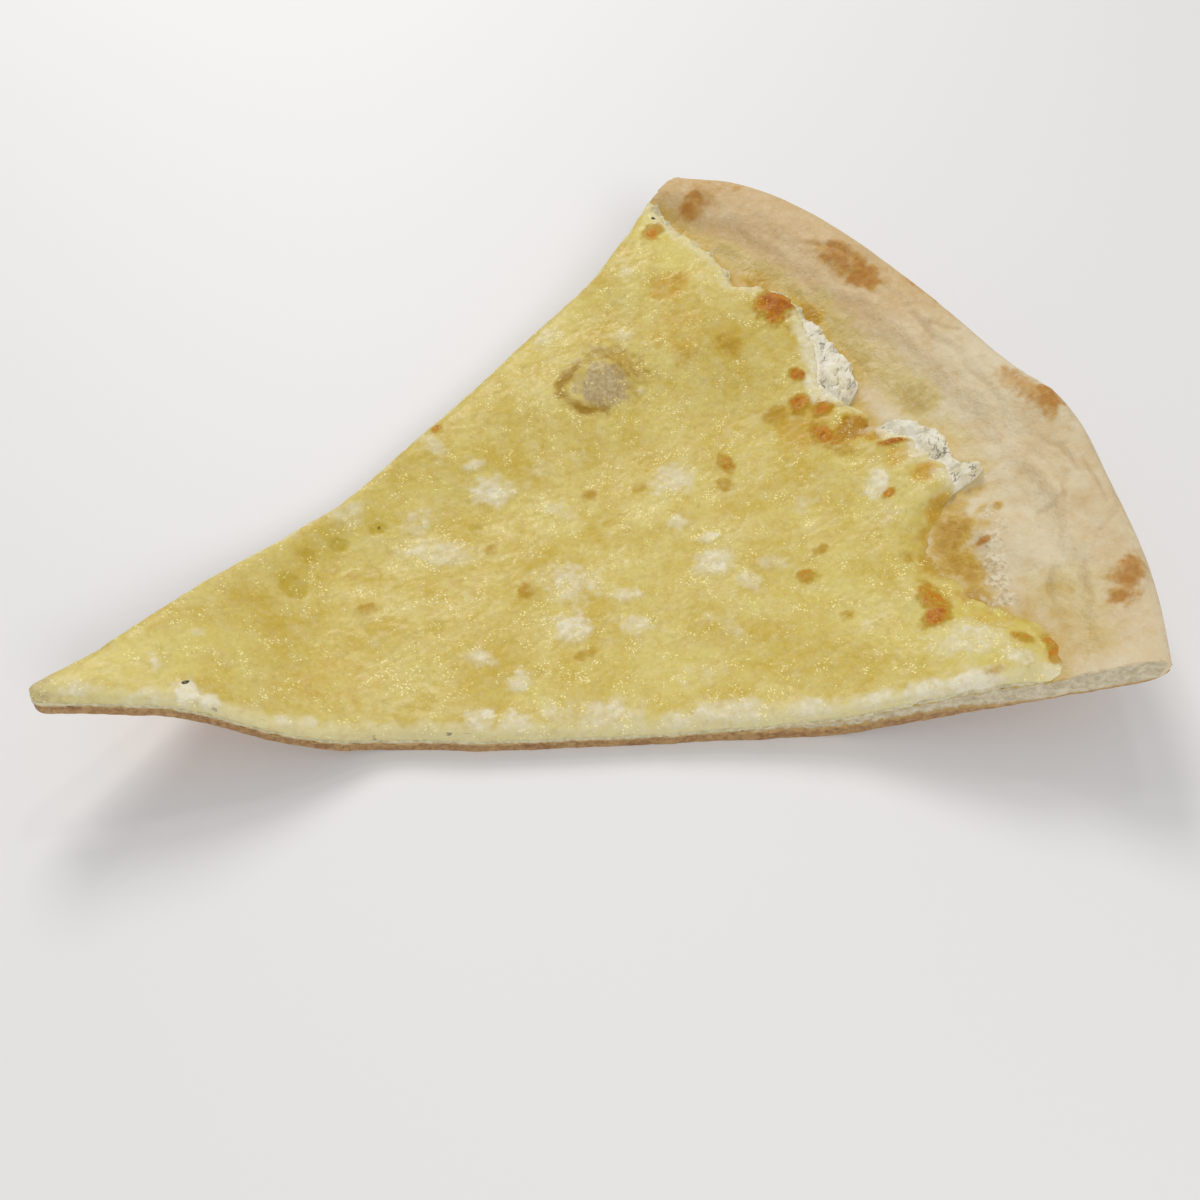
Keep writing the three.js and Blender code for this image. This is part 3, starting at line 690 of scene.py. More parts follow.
def rim_relief(x, y):
    """Dimples, wrinkles and blisters of the bare dough."""
    away, toward = polar(x, y)
    inside = in_from_edge(away, toward)
    along = np.radians(toward) * RIM_AT
    dimples = layered(rough, x, y, DIMPLES)
    wrinkles = WRINKLE_HEIGHT * rough(along, away * WRINKLE_SQUEEZE, WRINKLE_LENGTH, 17) * smooth(inside / 5)
    blistered = raised(rim_spots(x, y), RIM_BLISTERS, along * 0.85, away * 1.15)
    crinkles = raised(spots(x, y, CRINKLED), CRINKLES, x, y)
    stain = raised(stained(x, y), STAIN_SWELL, x * 1.3, y * 0.8)
    return dimples + wrinkles + blistered + crinkles + stain + folds(x, y)


def dough_top(x, y):
    away, toward = polar(x, y)
    edge = 0.3 + 0.7 * smooth(in_from_edge(away, toward) / 4)
    return dough_form(x, y) + bareness(away, toward) * edge * rim_relief(x, y)


def dough_bottom(x, y):
    away, toward = polar(x, y)
    inside = in_from_edge(away, toward)
    share = EDGE_LOW * (1 - quarter_round(inside, EDGE_ROUND_UNDER))
    pocks = POCK_DEPTH * smooth(rough(x, y, 7, 31) - 0.1) + POCK_GRAIN * (1 + rough(x, y, 2.5, 33))
    clear = smooth(inside / 6) * (0.3 + 0.7 * smooth(distance_to_cut(away, toward) / 4))
    return underside(x, y) + dough_thickness(away, toward) * share + pocks * clear


def ragged_border(toward, seed):
    """The small bites and tongues of a layer's border."""
    return layered(noise, toward, 0 * toward, BORDER_BITES, seed)


def cheese_reach(toward):
    return through(CHEESE_BORDER, toward) + ragged_border(toward, CHEESE_SEED)


def ricotta_reach(toward):
    return through(RICOTTA_BORDER, toward) + ragged_border(toward, RICOTTA_SEED)


def gap_to(border, reach, away, toward):
    """How far a place lies inside a border, measured square to it."""
    rise = through(border, toward + SLOPE_STEP) - through(border, toward - SLOPE_STEP)
    slope = rise / (2 * math.radians(SLOPE_STEP) * away)
    return (reach(toward) - away) / np.sqrt(1 + slope**2)


# ---- the ricotta's form ----
def ricotta_shown(away, toward):
    """How far a place is past the cheese, how far it is inside the ricotta's own border, and how far the
    ricotta comes out past the cheese."""
    mark = cheese_reach(toward) + HEAP_CLEARANCE
    to_border = gap_to(RICOTTA_BORDER, ricotta_reach, away, toward)
    return away - mark, to_border, through(RICOTTA_BORDER, toward) - through(CHEESE_BORDER, toward)


def ricotta_form(x, y):
    """Thickness of the ricotta without curds."""
    away, toward = polar(x, y)
    past_cheese, to_border, shown = ricotta_shown(away, toward)
    to_border = to_border * (1 + 0.5 * rough(x, y, 2.6, 47))
    heap = smooth(past_cheese / HEAP_SLOPE) * smooth(to_border / HEAP_SLOPE) * smooth((shown - 1) / 6)
    edge = 0.25 + 0.75 * smooth(to_border / RICOTTA_EDGE)
    return RICOTTA_THICKNESS * edge * rolled_at_cut(distance_to_cut(away, toward)) + RICOTTA_HEAP * heap


def rolled_at_cut(to_cut):
    """The share of the ricotta's thickness near a cut, where the knife has pressed it down."""
    return ROLLED_LEAST + (1 - ROLLED_LEAST) * quarter_round(to_cut, RICOTTA_CUT_SLOPE)


def ricotta_bottom(x, y):
    return dough_form(x, y) - OVERLAP


def ricotta_top(x, y):
    away, toward = polar(x, y)
    past_cheese, to_border, _ = ricotta_shown(away, toward)
    bare = smooth((past_cheese + 1) / 2)
    relief = ricotta_crumb(x, y) * smooth((to_border + 0.5) / 2)
    return dough_form(x, y) - OVERLAP + ricotta_form(x, y) + bare * relief


def ricotta_crumb(x, y):
    """Curds of two sizes with cracks between the clumps."""
    u, v = x + 0.9 * noise(x, y, 2.2, 42), y + 0.9 * noise(x, y, 2.2, 43)
    cracks = -CURD_CRACK_DEPTH * smooth(1 - np.abs(noise(u * 1.2, v * 0.8, 3.6, 48)) / 0.14)
    return layered(rough, x, y, CURD_LUMPS) + grainy(u, v, CURD_GRAINS) + cracks


# ---- the cheese's form ----
def on_dough(toward):
    """1 along the stretch of its border where the cheese has run down onto the dough."""
    return smooth((RUN_DOWN + 0.5 - toward) / 1.5)


def on_ricotta(away, toward):
    """1 where the cheese lies on the ricotta, 0 where it lies on the dough."""
    ricotta, cheese = through(RICOTTA_BORDER, toward), through(CHEESE_BORDER, toward)
    past = smooth((ricotta - cheese + 1) / 3)
    slope = CHEESE_BORDER_SLOPE + (THIN_BORDER_SLOPE - CHEESE_BORDER_SLOPE) * on_dough(toward)
    down = smooth((cheese - away) / slope)
    return smooth(1 + (ricotta + 1 - away) / CHEESE_DROP) * np.maximum(past, down)


def cheese_bottom(x, y):
    away, toward = polar(x, y)
    to_cut = distance_to_cut(away, toward)
    ricotta = RICOTTA_THICKNESS * rolled_at_cut(to_cut) - OVERLAP - sunk_at_cut(to_cut)
    return dough_form(x, y) - OVERLAP + on_ricotta(away, toward) * ricotta


def sunk_at_cut(to_cut):
    return SUNK_AT_CUT * smooth(1 - to_cut / SUNK_BAND)


def skin_marks(x, y):
    """The skin of the bubble that came through, and the darker cheese around it: browned seep and painted
    shade, its rim on the left side only.
    """
    skin = spots(x, y, SKIN_BUBBLE, 0.25, 0.9)
    rim = near_line(x, y, BUBBLE_SHADED_RIM, 1.9) * (0.85 + 0.5 * rough(x, y, 3, 91, 2)) * smooth((156 - x) / 8)
    seep_and_shade = np.maximum(spots(x, y, BUBBLE_SHADE, 0.3, 1.2) * (1 - 0.8 * skin), rim)
    return skin, seep_and_shade


def cheese_relief(x, y):
    """Lumps, oily grains, curds, blisters and the skin bubble."""
    away, toward = polar(x, y)
    calm = smooth((away - 8) / 30) * smooth(distance_to_cut(away, toward) / 7 + 0.25)
    calm = calm * (0.6 + 0.4 * smooth((through(CHEESE_BORDER, toward) - away) / 18))
    curds = curd_spots(x, y) * (0.2 + 0.4 * (grains(x, y, 2.6, 81) - 0.4) + 0.25 * rough(x, y, 1.8, 83, 2))
    blistered = raised(toasted_spots(x, y), CHEESE_BLISTERS, x * 0.8, y * 1.4)
    skin, seep_and_shade = skin_marks(x, y)
    dome = skin * (0.35 + 0.4 * (grains(x, y, 1.5, 88) - 0.5)) + raised(seep_and_shade, SEEP_SUNK, x, y)
    pits = -OLIVE_PIT * spots(x, y, OLIVE) - AMBER_PIT * spots(x, y, AMBER) * (1 + rough(x, y, 2.6, 89))
    fine = layered(rough, x, y, CHEESE_LUMPS) + grainy(x, y, CHEESE_GRAINS) * (1 - 0.7 * skin)
    return calm * fine + curds + blistered + dome + pits


def cheese_top(x, y):
    away, toward = polar(x, y)
    to_cut = distance_to_cut(away, toward)
    to_border = gap_to(CHEESE_BORDER, cheese_reach, away, toward)
    rounded = quarter_round(to_cut, CHEESE_CUT_SLOPE)
    edge = quarter_round(to_border, CHEESE_BORDER_SLOPE)
    rounded = rounded * (edge + (smooth(to_border / THIN_BORDER_SLOPE) - edge) * on_dough(toward))
    turns = 2 * math.pi / CHEESE_WAVE_LENGTH
    wave = CHEESE_WAVE * np.sin(x * turns) * np.cos(y * turns)
    least = CHEESE_BORDER_THICKNESS + (CHEESE_CUT_THICKNESS - CHEESE_BORDER_THICKNESS) * smooth(to_border / 3)
    body = least + rounded * (CHEESE_THICKNESS - least + wave)
    relief = cheese_relief(x, y) * (0.2 + 0.8 * rounded)
    thickness = np.maximum(body + relief - OVERLAP, CHEESE_LEAST)
    return cheese_bottom(x, y) + OVERLAP + sunk_at_cut(to_cut) + thickness


# ---- closed bodies over a fan of rows ----
def zip_rows(first, second):
    """Triangles that fill the strip between two rows of vertex numbers."""
    n, m = len(first) - 1, len(second) - 1
    first_mid, second_mid = (np.arange(n) + 0.5) / n, (np.arange(m) + 0.5) / m
    apex = np.searchsorted(second_mid, first_mid, "left")
    apex_back = np.searchsorted(first_mid, second_mid, "right")
    forward = np.stack([first[:-1], second[apex], first[1:]], 1)
    backward = np.stack([first[apex_back], second[:-1], second[1:]], 1)
    return np.concatenate([forward, backward])


class Body:
    """A closed body between two surfaces. Rows run from the front cut to the back cut, and each row lies
    at its own share of the way from the tip to the border."""

    def __init__(self, border, rows, spacing_top, spacing_bottom, top, bottom, levels, inset=0):
        self.spots = []
        self.faces = []
        self.levels = levels
        self.columns = np.linspace(0, 1, COLUMN_SAMPLES)
        self.reach = reach_of(border, self.columns)
        self.inset = inset
        tops, bottoms = [], []
        for share in rows:
            width = self.width(share)
            tops.append(self.row(share, max(4, round(width / spacing_top(share))), top))
            bottoms.append(self.row(share, max(3, round(width / spacing_bottom(share))), bottom))
        for i in range(len(rows) - 1):
            self.faces.append(zip_rows(tops[i], tops[i + 1]))
            self.faces.append(zip_rows(bottoms[i], bottoms[i + 1])[:, ::-1])
        front, back = self.wall(tops, bottoms, 0), self.wall(tops, bottoms, -1)
        for level in range(levels):
            self.faces.append(zip_rows(front[level], front[level + 1]))
            self.faces.append(zip_rows(back[level], back[level + 1])[:, ::-1])
        self.end(tops[0], bottoms[0], front[:, 0], back[:, 0], False)
        self.end(tops[-1], bottoms[-1], front[:, -1], back[:, -1], True)
        self.points = np.concatenate(self.spots)
        self.faces = np.concatenate(self.faces)

    def add(self, points):
        start = sum(len(s) for s in self.spots)
        self.spots.append(points)
        return np.arange(start, start + len(points))

    def width(self, share):
        reach = self.reach.mean() * share + FIRST_ROW * (1 - share)
        front, back = cuts_at(reach, self.inset)
        return math.radians(back - front) * reach

    def row(self, share, count, surface):
        column = np.linspace(0, 1, count + 1)
        start = FIRST_ROW + 2 * self.inset
        away = start + (np.interp(column, self.columns, self.reach) - start) * share
        toward = np.radians(direction_at(away, column, self.inset))
        x, y = away * np.cos(toward), away * np.sin(toward)
        return self.add(np.stack([x, y, surface(x, y)], 1))

    def places(self):
        x, y = self.points[:, 0], self.points[:, 1]
        return x, y, *polar(x, y)

    def points_of(self, numbers):
        return np.concatenate(self.spots)[numbers]

    def wall(self, tops, bottoms, end):
        """Rows of vertex numbers from the bottom edge up to the top edge, along one cut."""
        high = np.array([row[end] for row in tops])
        low = np.array([row[end] for row in bottoms])
        low_points, high_points = self.points_of(low), self.points_of(high)
        rows = [low]
        for level in range(1, self.levels):
            share = level / self.levels
            rows.append(self.add(low_points + (high_points - low_points) * share))
        return np.array([*rows, high])

    def end(self, top, bottom, front, back, outer):
        """The face at the tip or along the border."""
        high_points = self.points_of(top)
        low = self.points_of(bottom)
        t = np.linspace(0, 1, len(top))
        low_z = np.interp(t, np.linspace(0, 1, len(bottom)), low[:, 2])
        rows = [bottom]
        for level in range(1, self.levels):
            share = level / self.levels
            middle = high_points[1:-1].copy()
            middle[:, 2] = low_z[1:-1] + (high_points[1:-1, 2] - low_z[1:-1]) * share
            rows.append(np.concatenate([[front[level]], self.add(middle), [back[level]]]))
        rows.append(top)
        for level in range(self.levels):
            strip = zip_rows(rows[level], rows[level + 1])
            self.faces.append(strip if not outer else strip[:, ::-1])


def steady(spacing):
    return lambda share: spacing


def finer_past(place, coarse, fine):
    """A spacing along the rows that turns from coarse to fine at a share of the way to the border."""
    return lambda share: fine + (coarse - fine) * float(smooth((place - share) / STEP_BLEND))


def rows_between(start, stop, reach, step):
    """Rows a step apart, as shares of the way out to a border at this reach."""
    return np.linspace(start, stop, round((stop - start) * reach / step) + 1)[:-1]


def rounded_rows(start, count):
    """Rows that crowd towards the border, for an edge that rounds over."""
    turn = np.linspace(0, math.pi / 2, count + 1)
    return start + (1 - start) * np.sin(turn)


def to_frame(points):
    moved = points.copy()
    moved[:, 0] += CORNER_AT[0]
    moved[:, 1] += CORNER_AT[1]
    return moved * MM


def make_piece(name, node, points, faces, marks, material):
    """A mesh object from points in mm, with named numbers on its vertices for the material. It stands for
    a CAD node, which it hides."""
    mesh = bpy.data.meshes.new(name)
    mesh.from_pydata(to_frame(points), [], faces.tolist())
    for mark, values in marks.items():
        attribute = mesh.attributes.new(mark, "FLOAT", "POINT")
        attribute.data.foreach_set("value", np.asarray(values, np.float32))
    mesh.shade_smooth()
    mesh.set_sharp_from_angle(angle=math.radians(SHARP_ANGLE))
    mesh.materials.append(material)
    piece = bpy.data.objects.new(name, mesh)
    bpy.context.scene.collection.objects.link(piece)
    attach(piece, "root")
    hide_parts(node)


def crumb_walls(points, depth, size, seed, height=1):
    """Pushes the cut faces in and out: all layers together over long waves, each by its own crumb."""
    away, toward = polar(points[:, 0], points[:, 1])
    front, back = cuts_at(away)
    near_front = away * np.radians(toward - front)
    near_back = away * np.radians(back - toward)
    wave = layered(rough, away, 0 * away, CUT_WAVES)
    pushed = points.copy()
    for nearness, cut, side in ((near_front, front, -1), (near_back, back, 1)):
        weight = smooth(1 - nearness / CUT_BAND)
        normal = np.radians(cut + side * 90)
        crumb = rough(away, points[:, 2] * 1.3, size, seed) - 0.2
        pits = -smooth((grains(away, points[:, 2] * 1.2, size * 1.4, seed + 3) - 0.75) / 0.2)
        push = weight * (wave - CUT_SET_BACK + height * depth * (crumb + 0.8 * pits))
        pushed[:, 0] += push * np.cos(normal)
        pushed[:, 1] += push * np.sin(normal)
    return pushed


# ---- materials ----
class Paint:
    """A material's node tree, with short calls for its nodes. Colours are laid over its base in turn."""

    def __init__(self, name, base):
        self.material = bpy.data.materials.new(name)
        self.material.use_nodes = True
        self.tree = self.material.node_tree
        self.tree.nodes.clear()
        self.base = base
        self.shader = self.node("BsdfPrincipled")
        self.node("OutputMaterial", {"Surface": self.shader.outputs[0]})
        place = self.node("TexCoord").outputs["Object"]
        self.place = self.node("VectorMath", {0: place, "Scale": 1 / MM}, operation="SCALE").outputs[0]

    def node(self, kind, inputs=None, **settings):
        """A new node, with its settings made and its inputs set or linked."""
        node = self.tree.nodes.new("ShaderNode" + kind)
        for name, value in settings.items():
            setattr(node, name, value)
        for name, value in (inputs or {}).items():
            self.put(node.inputs[name], value)
        return node

    def put(self, socket, value):
        if isinstance(value, bpy.types.NodeSocket):
            self.tree.links.new(value, socket)
        else:
            socket.default_value = value

    def finish(self, **values):
        self.put(self.shader.inputs["Base Color"], light_of(self.base))
        for name, value in values.items():
            self.put(self.shader.inputs[name.replace("_", " ")], value)
        return self.material

    def mark(self, name):
        return self.node("Attribute", attribute_name=name).outputs["Fac"]

    def stretched(self, x, y, z):
        return self.node("Mapping", {"Vector": self.place, "Scale": (x, y, z)}).outputs[0]

    def noise(self, size, detail=3, roughness=0.55, place=None):
        inputs = {"Vector": place or self.place, "Scale": 1 / size, "Detail": detail, "Roughness": roughness}
        return self.node("TexNoise", inputs).outputs["Fac"]

    def warped(self, size, amount):
        """The place pushed about by noise, so that patterns read from it lose their regular look."""
        push = self.node("TexNoise", {"Vector": self.place, "Scale": 1 / size}).outputs["Color"]
        inputs = {0: push, 1: (amount, amount, amount), 2: self.place}
        return self.node("VectorMath", inputs, operation="MULTIPLY_ADD").outputs[0]

    def cells(self, size, feature="F1", place=None):
        inputs = {"Vector": place or self.place, "Scale": 1 / size}
        return self.node("TexVoronoi", inputs, feature=feature).outputs["Distance"]

    def sum(self, a, b, kind="ADD"):
        return self.node("Math", {0: a, 1: b}, operation=kind).outputs[0]

    def times(self, a, b):
        return self.sum(a, b, "MULTIPLY")

    def between(self, value, low, high, out_low=0.0, out_high=1.0):
        """The value's share of the way from low to high, eased at both ends."""
        inputs = {"Value": value, "From Min": low, "From Max": high, "To Min": out_low, "To Max": out_high}
        return self.node("MapRange", inputs, interpolation_type="SMOOTHSTEP").outputs[0]

    def patches(self, low, high, *noise):
        """Noise as a share of the way from low to high."""
        return self.between(self.noise(*noise), low, high)

    def mix(self, share, a, b):
        inputs = {"Factor": share, 6: light_of(a), 7: light_of(b)}
        return self.node("Mix", inputs, data_type="RGBA").outputs[2]

    def lay(self, share, tint, strength=1):
        """Lays a colour over the base, by a share for each place."""
        if strength != 1:
            share = self.times(share, strength)
        self.base = self.mix(share, self.base, tint)

    def spread(self, mark, size, amount, low, high, tint, strength):
        """Lays a colour where a vertex mark is strong, with an edge broken up by noise."""
        wobble = self.between(self.noise(size, 4), 0.25, 0.75, -amount, amount)
        share = self.between(self.sum(self.mark(mark), wobble), low, high)
        self.lay(share, tint, strength)
        return share

    def bump(self, height, distance, normal=None):
        inputs = {"Distance": distance * MM, "Height": height}
        if normal:
            inputs["Normal"] = normal
        return self.node("Bump", inputs).outputs[0]


def light_of(tint):
    """The light values of a colour given as the eye reads it. A socket is passed through."""
    if isinstance(tint, bpy.types.NodeSocket):
        return tint
    shares = [c / 255 for c in tint]
    return (*[s / 12.92 if s <= 0.04045 else ((s + 0.055) / 1.055) ** 2.4 for s in shares], 1)


def cheese_material():
    paint = Paint("melted_cheese", CHEESE_GOLDEN)
    paint.lay(paint.patches(0.32, 0.68, 11, 5, 0.6), CHEESE_PALE)
    paint.lay(paint.patches(0.42, 0.68, 5, 4, 0.6), CHEESE_CLOT, 0.3)
    granule = paint.cells(1.5, "SMOOTH_F1", paint.warped(1.6, 1.4))
    paint.lay(paint.between(granule, 0.42, 0.75), CHEESE_GAP, 0.22)
    paint.lay(paint.patches(0.52, 0.36, 1.1, 3, 0.7), CHEESE_GRAIN, 0.22)
    paint.spread("lemon", 7, 0.35, 0.0, 1.0, CHEESE_LEMON, 0.55)
    cream = paint.spread("edge", 3, 0.25, 0.1, 0.85, CHEESE_CREAM, 0.8)
    paint.spread("verge", 3, 0.3, 0.1, 0.9, CHEESE_VERGE, 0.85)
    paint.lay(paint.mark("tip"), CHEESE_TIP, 0.5)
    paint.spread("olive", 2.5, 0.25, 0.0, 1.0, CHEESE_OLIVE, 0.65)
    paint.spread("amber", 3, 0.25, 0.0, 1.0, CHEESE_AMBER, 0.8)
    paint.spread("amber", 2.5, 0.2, 0.75, 1.35, CHEESE_DEEP_AMBER, 0.85)
    paint.spread("soaked", 3, 0.3, 0.1, 1.0, CHEESE_SOAKED, 0.8)
    curd = paint.spread("curd", 3.2, 0.35, -0.05, 1.15, CURD_VEILED, 0.78)
    paint.spread("curd", 1.8, 0.5, 0.6, 1.4, CURD_BITS, 0.62)
    speckles = paint.patches(0.34, 0.66, 1.5, 3, 0.7)
    skin = paint.spread("skin", 2.5, 0.3, 0.05, 1.05, paint.mix(speckles, SKIN_DARK, SKIN_PALE), 0.88)
    # browned seep and painted shade beside the bubble and on its left side
    paint.spread("seep_and_shade", 2.5, 0.2, 0.1, 1.0, SEEP_AND_SHADE_BROWN, 0.9)
    toasted = blisters(paint)
    paint.lay(paint.between(paint.mark("fleck"), 0.35, 0.7, 0, 0.95), FLECK_BLACK)
    # painted highlights: golden glints and sparkle dots
    painted_sparkle(paint, toasted)
    normal = paint.bump(paint.noise(2.2, 3, 0.6), 0.2)
    normal = paint.bump(paint.sum(1, granule, "SUBTRACT"), 0.12, normal)
    dry = paint.times(curd, 0.5)
    for share, dryness in ((skin, 0.3), (toasted, 0.45), (cream, 0.25)):
        dry = paint.sum(dry, paint.times(share, dryness))
    film = paint.between(paint.noise(6, 3), 0.38, 0.62, 0.02, 0.18)
    return paint.finish(
        Roughness=paint.between(paint.noise(2.1, 3), 0.35, 0.65, 0.46, 0.62),
        Normal=normal,
        Subsurface_Weight=0.1,
        Subsurface_Radius=(1.0, 0.8, 0.3),
        Subsurface_Scale=1.5 * MM,
        Specular_IOR_Level=0.2,
        Coat_Weight=paint.times(film, paint.between(dry, 0, 0.6, 1, 0.1)),
        Coat_Roughness=0.22,
        Coat_Normal=normal,
    )


def blisters(paint):
    """Browned bubbles of the cheese: a dull yellow rim, an orange top with wrinkles, and a burnt middle."""
    toasted = paint.spread("toasted", 2, 0.2, 0.0, 0.7, BLISTER_RIM, 0.85)
    orange = paint.spread("toasted", 1.8, 0.3, 0.6, 1.05, BLISTER, 0.85)
    wrinkles = paint.patches(0.44, 0.62, 3, 4, 0.6)
    paint.lay(paint.times(orange, wrinkles), BLISTER_WRINKLE, 0.45)
    paint.spread("toasted", 2, 0.25, 0.85, 1.25, BLISTER_BURNT, 0.75)
    return toasted


def painted_sparkle(paint, toasted):
    """Painted highlights where fat stands on the cheese: golden glints and clusters of bright dots of painted
    sparkle.
    """
    gold_glint = paint.patches(0.55, 0.64, 0.85, 3, 0.7)
    paint.lay(paint.times(gold_glint, paint.patches(0.42, 0.58, 8, 4, 0.6)), PAINTED_GOLD_GLINT, 0.4)
    dots = paint.between(paint.cells(0.72, "F1", paint.warped(2, 1.6)), 0.4, 0.2)
    clusters = paint.patches(0.525, 0.58, 4.5, 5, 0.7)
    sparkle = paint.times(paint.times(dots, clusters), paint.between(toasted, 0, 0.5, 1, 0.2))
    paint.lay(sparkle, PAINTED_SPARKLE, 0.8)


def ricotta_material():
    paint = Paint("ricotta", RICOTTA_WHITE)
    paint.lay(paint.patches(0.35, 0.65, 5, 4), RICOTTA_CREAM)
    paint.lay(paint.patches(0.5, 0.38, 0.9, 3, 0.7), RICOTTA_GRAIN, 0.3)
    paint.lay(paint.patches(0.5, 0.68, 4, 3), RICOTTA_YELLOW, 0.3)
    # painted shade in the low places of the curds' relief, away from the cuts
    paint.lay(paint.mark("crevice_shade"), RICOTTA_CREVICE_SHADE, 0.35)
    # painted shade in thin cracks between the clumps, in patches and not where it is creamy; the same cracks
    # are bumped in
    cracks = paint.between(paint.cells(3.4, "DISTANCE_TO_EDGE", paint.warped(1.4, 2.4)), 0.045, 0.0)
    broken = paint.times(cracks, paint.patches(0.52, 0.64, 3.5, 3))
    broken = paint.times(broken, paint.between(paint.mark("creamy"), 0.2, 0.8, 1, 0))
    paint.lay(broken, RICOTTA_CRACK_SHADE, 0.6)
    melted = paint.patches(0.36, 0.6, 1.6, 4, 0.7)
    paint.spread("creamy", 2, 0.3, 0.1, 0.9, paint.mix(melted, RICOTTA_MELTED_DARK, RICOTTA_MELTED), 0.85)
    paint.spread("foot", 1.5, 0.3, 0.1, 0.9, RICOTTA_FOOT, 0.8)
    normal = paint.bump(paint.noise(1.3, 4, 0.65), 0.5)
    return paint.finish(
        Roughness=paint.between(paint.noise(2, 2), 0.35, 0.65, 0.45, 0.7),
        Normal=paint.bump(paint.times(broken, -1), 0.4, normal),
        Subsurface_Weight=0.1,
        Subsurface_Radius=(1.0, 0.85, 0.6),
        Subsurface_Scale=1.2 * MM,
        Specular_IOR_Level=0.3,
    )


def dough_material():
    paint = Paint("baked_dough", DOUGH_PALE)
    paint.lay(paint.patches(0.38, 0.66, 17, 5), DOUGH_TAN)
    paint.lay(paint.between(paint.noise(3.4, 4), 0.5, 0.72, 0, 0.35), DOUGH_PATCH)
    paint.lay(paint.mark("warm"), DOUGH_WARM, 0.65)
    oiled = paint.spread("oiled", 6, 0.15, 0.0, 1.1, DOUGH_OILED, 0.85)
    paint.spread("oiled", 7, 0.14, 0.75, 1.5, DOUGH_DEEP_OIL, 0.68)
    paint.lay(paint.patches(0.5, 0.66, 2.2, 5, 0.7), DOUGH_FLOUR, 0.22)
    # painted shade in the rim's grooves
    paint.lay(paint.between(paint.mark("crease_shade"), 0.2, 1.0), DOUGH_CREASE_SHADE, 0.42)
    # painted highlight along the ridge at the roll's foot, and flour at the rim's front end
    paint.lay(paint.mark("flour_and_highlight"), DOUGH_FLOUR_AND_HIGHLIGHT, 0.4)
    stain = paint.spread("stain", 4.5, 0.2, 0.0, 0.95, DOUGH_STAIN, 0.9)
    paint.spread("stain", 4, 0.3, 0.5, 1.25, DOUGH_DEEP_STAIN, 0.8)
    # crinkled skin: pale skin mixed at random with painted crevice shade
    rumpled = paint.patches(0.4, 0.56, 1.5, 4, 0.7)
    paint.spread("crinkle", 2, 0.4, 0.2, 1.0, paint.mix(rumpled, CRINKLE_CREVICE_SHADE, CRINKLE_PALE), 0.75)
    paint.spread("toasted", 3, 0.3, 0.0, 1.0, DOUGH_TOASTED, 0.85)
    paint.spread("toasted", 2.4, 0.35, 0.35, 1.2, DOUGH_BURNT, 0.75)
    cut = paint.between(paint.mark("cut"), 0.4, 0.75)
    paint.lay(cut, open_crumb(paint))
    browned_underside(paint, cut)
    normal = paint.bump(paint.noise(3.2, 4, 0.6), 0.6)
    normal = paint.bump(paint.noise(1.3, 4, 0.6), 0.25, normal)
    shine = paint.sum(paint.times(stain, -0.15), paint.times(oiled, -0.2))
    dull = paint.between(paint.noise(4, 3), 0.35, 0.65, 0.55, 0.75)
    return paint.finish(
        Roughness=paint.sum(dull, shine),
        Normal=normal,
        Subsurface_Weight=0.08,
        Subsurface_Radius=(1.0, 0.7, 0.45),
        Subsurface_Scale=1.5 * MM,
        Specular_IOR_Level=0.4,
        Coat_Weight=paint.times(stain, 0.06),
        Coat_Roughness=0.24,
        Coat_Normal=normal,
    )


def open_crumb(paint):
    """The dough's crumb where it is cut, with its holes painted as dark shade, drawn out sideways."""
    flattened = paint.stretched(0.85, 0.85, 1.4)
    crumb = paint.mix(paint.patches(0.36, 0.62, 2.2, 5, 0.65, flattened), CRUMB_DARK, CRUMB_PALE)
    hole_shade = paint.patches(0.42, 0.32, 1.3, 4, 0.7, flattened)
    return paint.mix(paint.times(hole_shade, 0.55), crumb, CRUMB_HOLE_SHADE)


def browned_underside(paint, cut):
    """The baked base, spotted with brown and dusted with flour, and its darker line along the cuts."""
    under = paint.mix(paint.patches(0.4, 0.6, 6, 5, 0.65), UNDER_TAN, UNDER_BROWN)
    char = paint.patches(0.6, 0.72, 3.2, 5, 0.7)
    under = paint.mix(paint.times(char, 0.5), under, UNDER_CHAR)
    dust = paint.patches(0.54, 0.7, 9, 6, 0.75)
    under = paint.mix(paint.times(dust, 0.5), under, UNDER_DUST)
    drift = paint.between(paint.noise(2, 4, 0.65), 0.3, 0.7, -0.2, 0.2)
    lowness = paint.sum(paint.mark("under"), drift)
    paint.lay(paint.times(cut, paint.between(lowness, 0.1, 0.55)), CUT_BROWNED)
    line = paint.mix(paint.patches(0.4, 0.62, 1.4, 4, 0.7), CUT_LINE_PALE, CUT_LINE_DARK)
    scorched = paint.patches(0.5, 0.64, 3.4, 4, 0.6)
    line = paint.mix(paint.times(scorched, 0.6), line, CUT_LINE_SCORCHED)
    under = paint.mix(paint.times(cut, 0.8), under, line)
    paint.lay(paint.between(lowness, 0.65, 0.95), under)


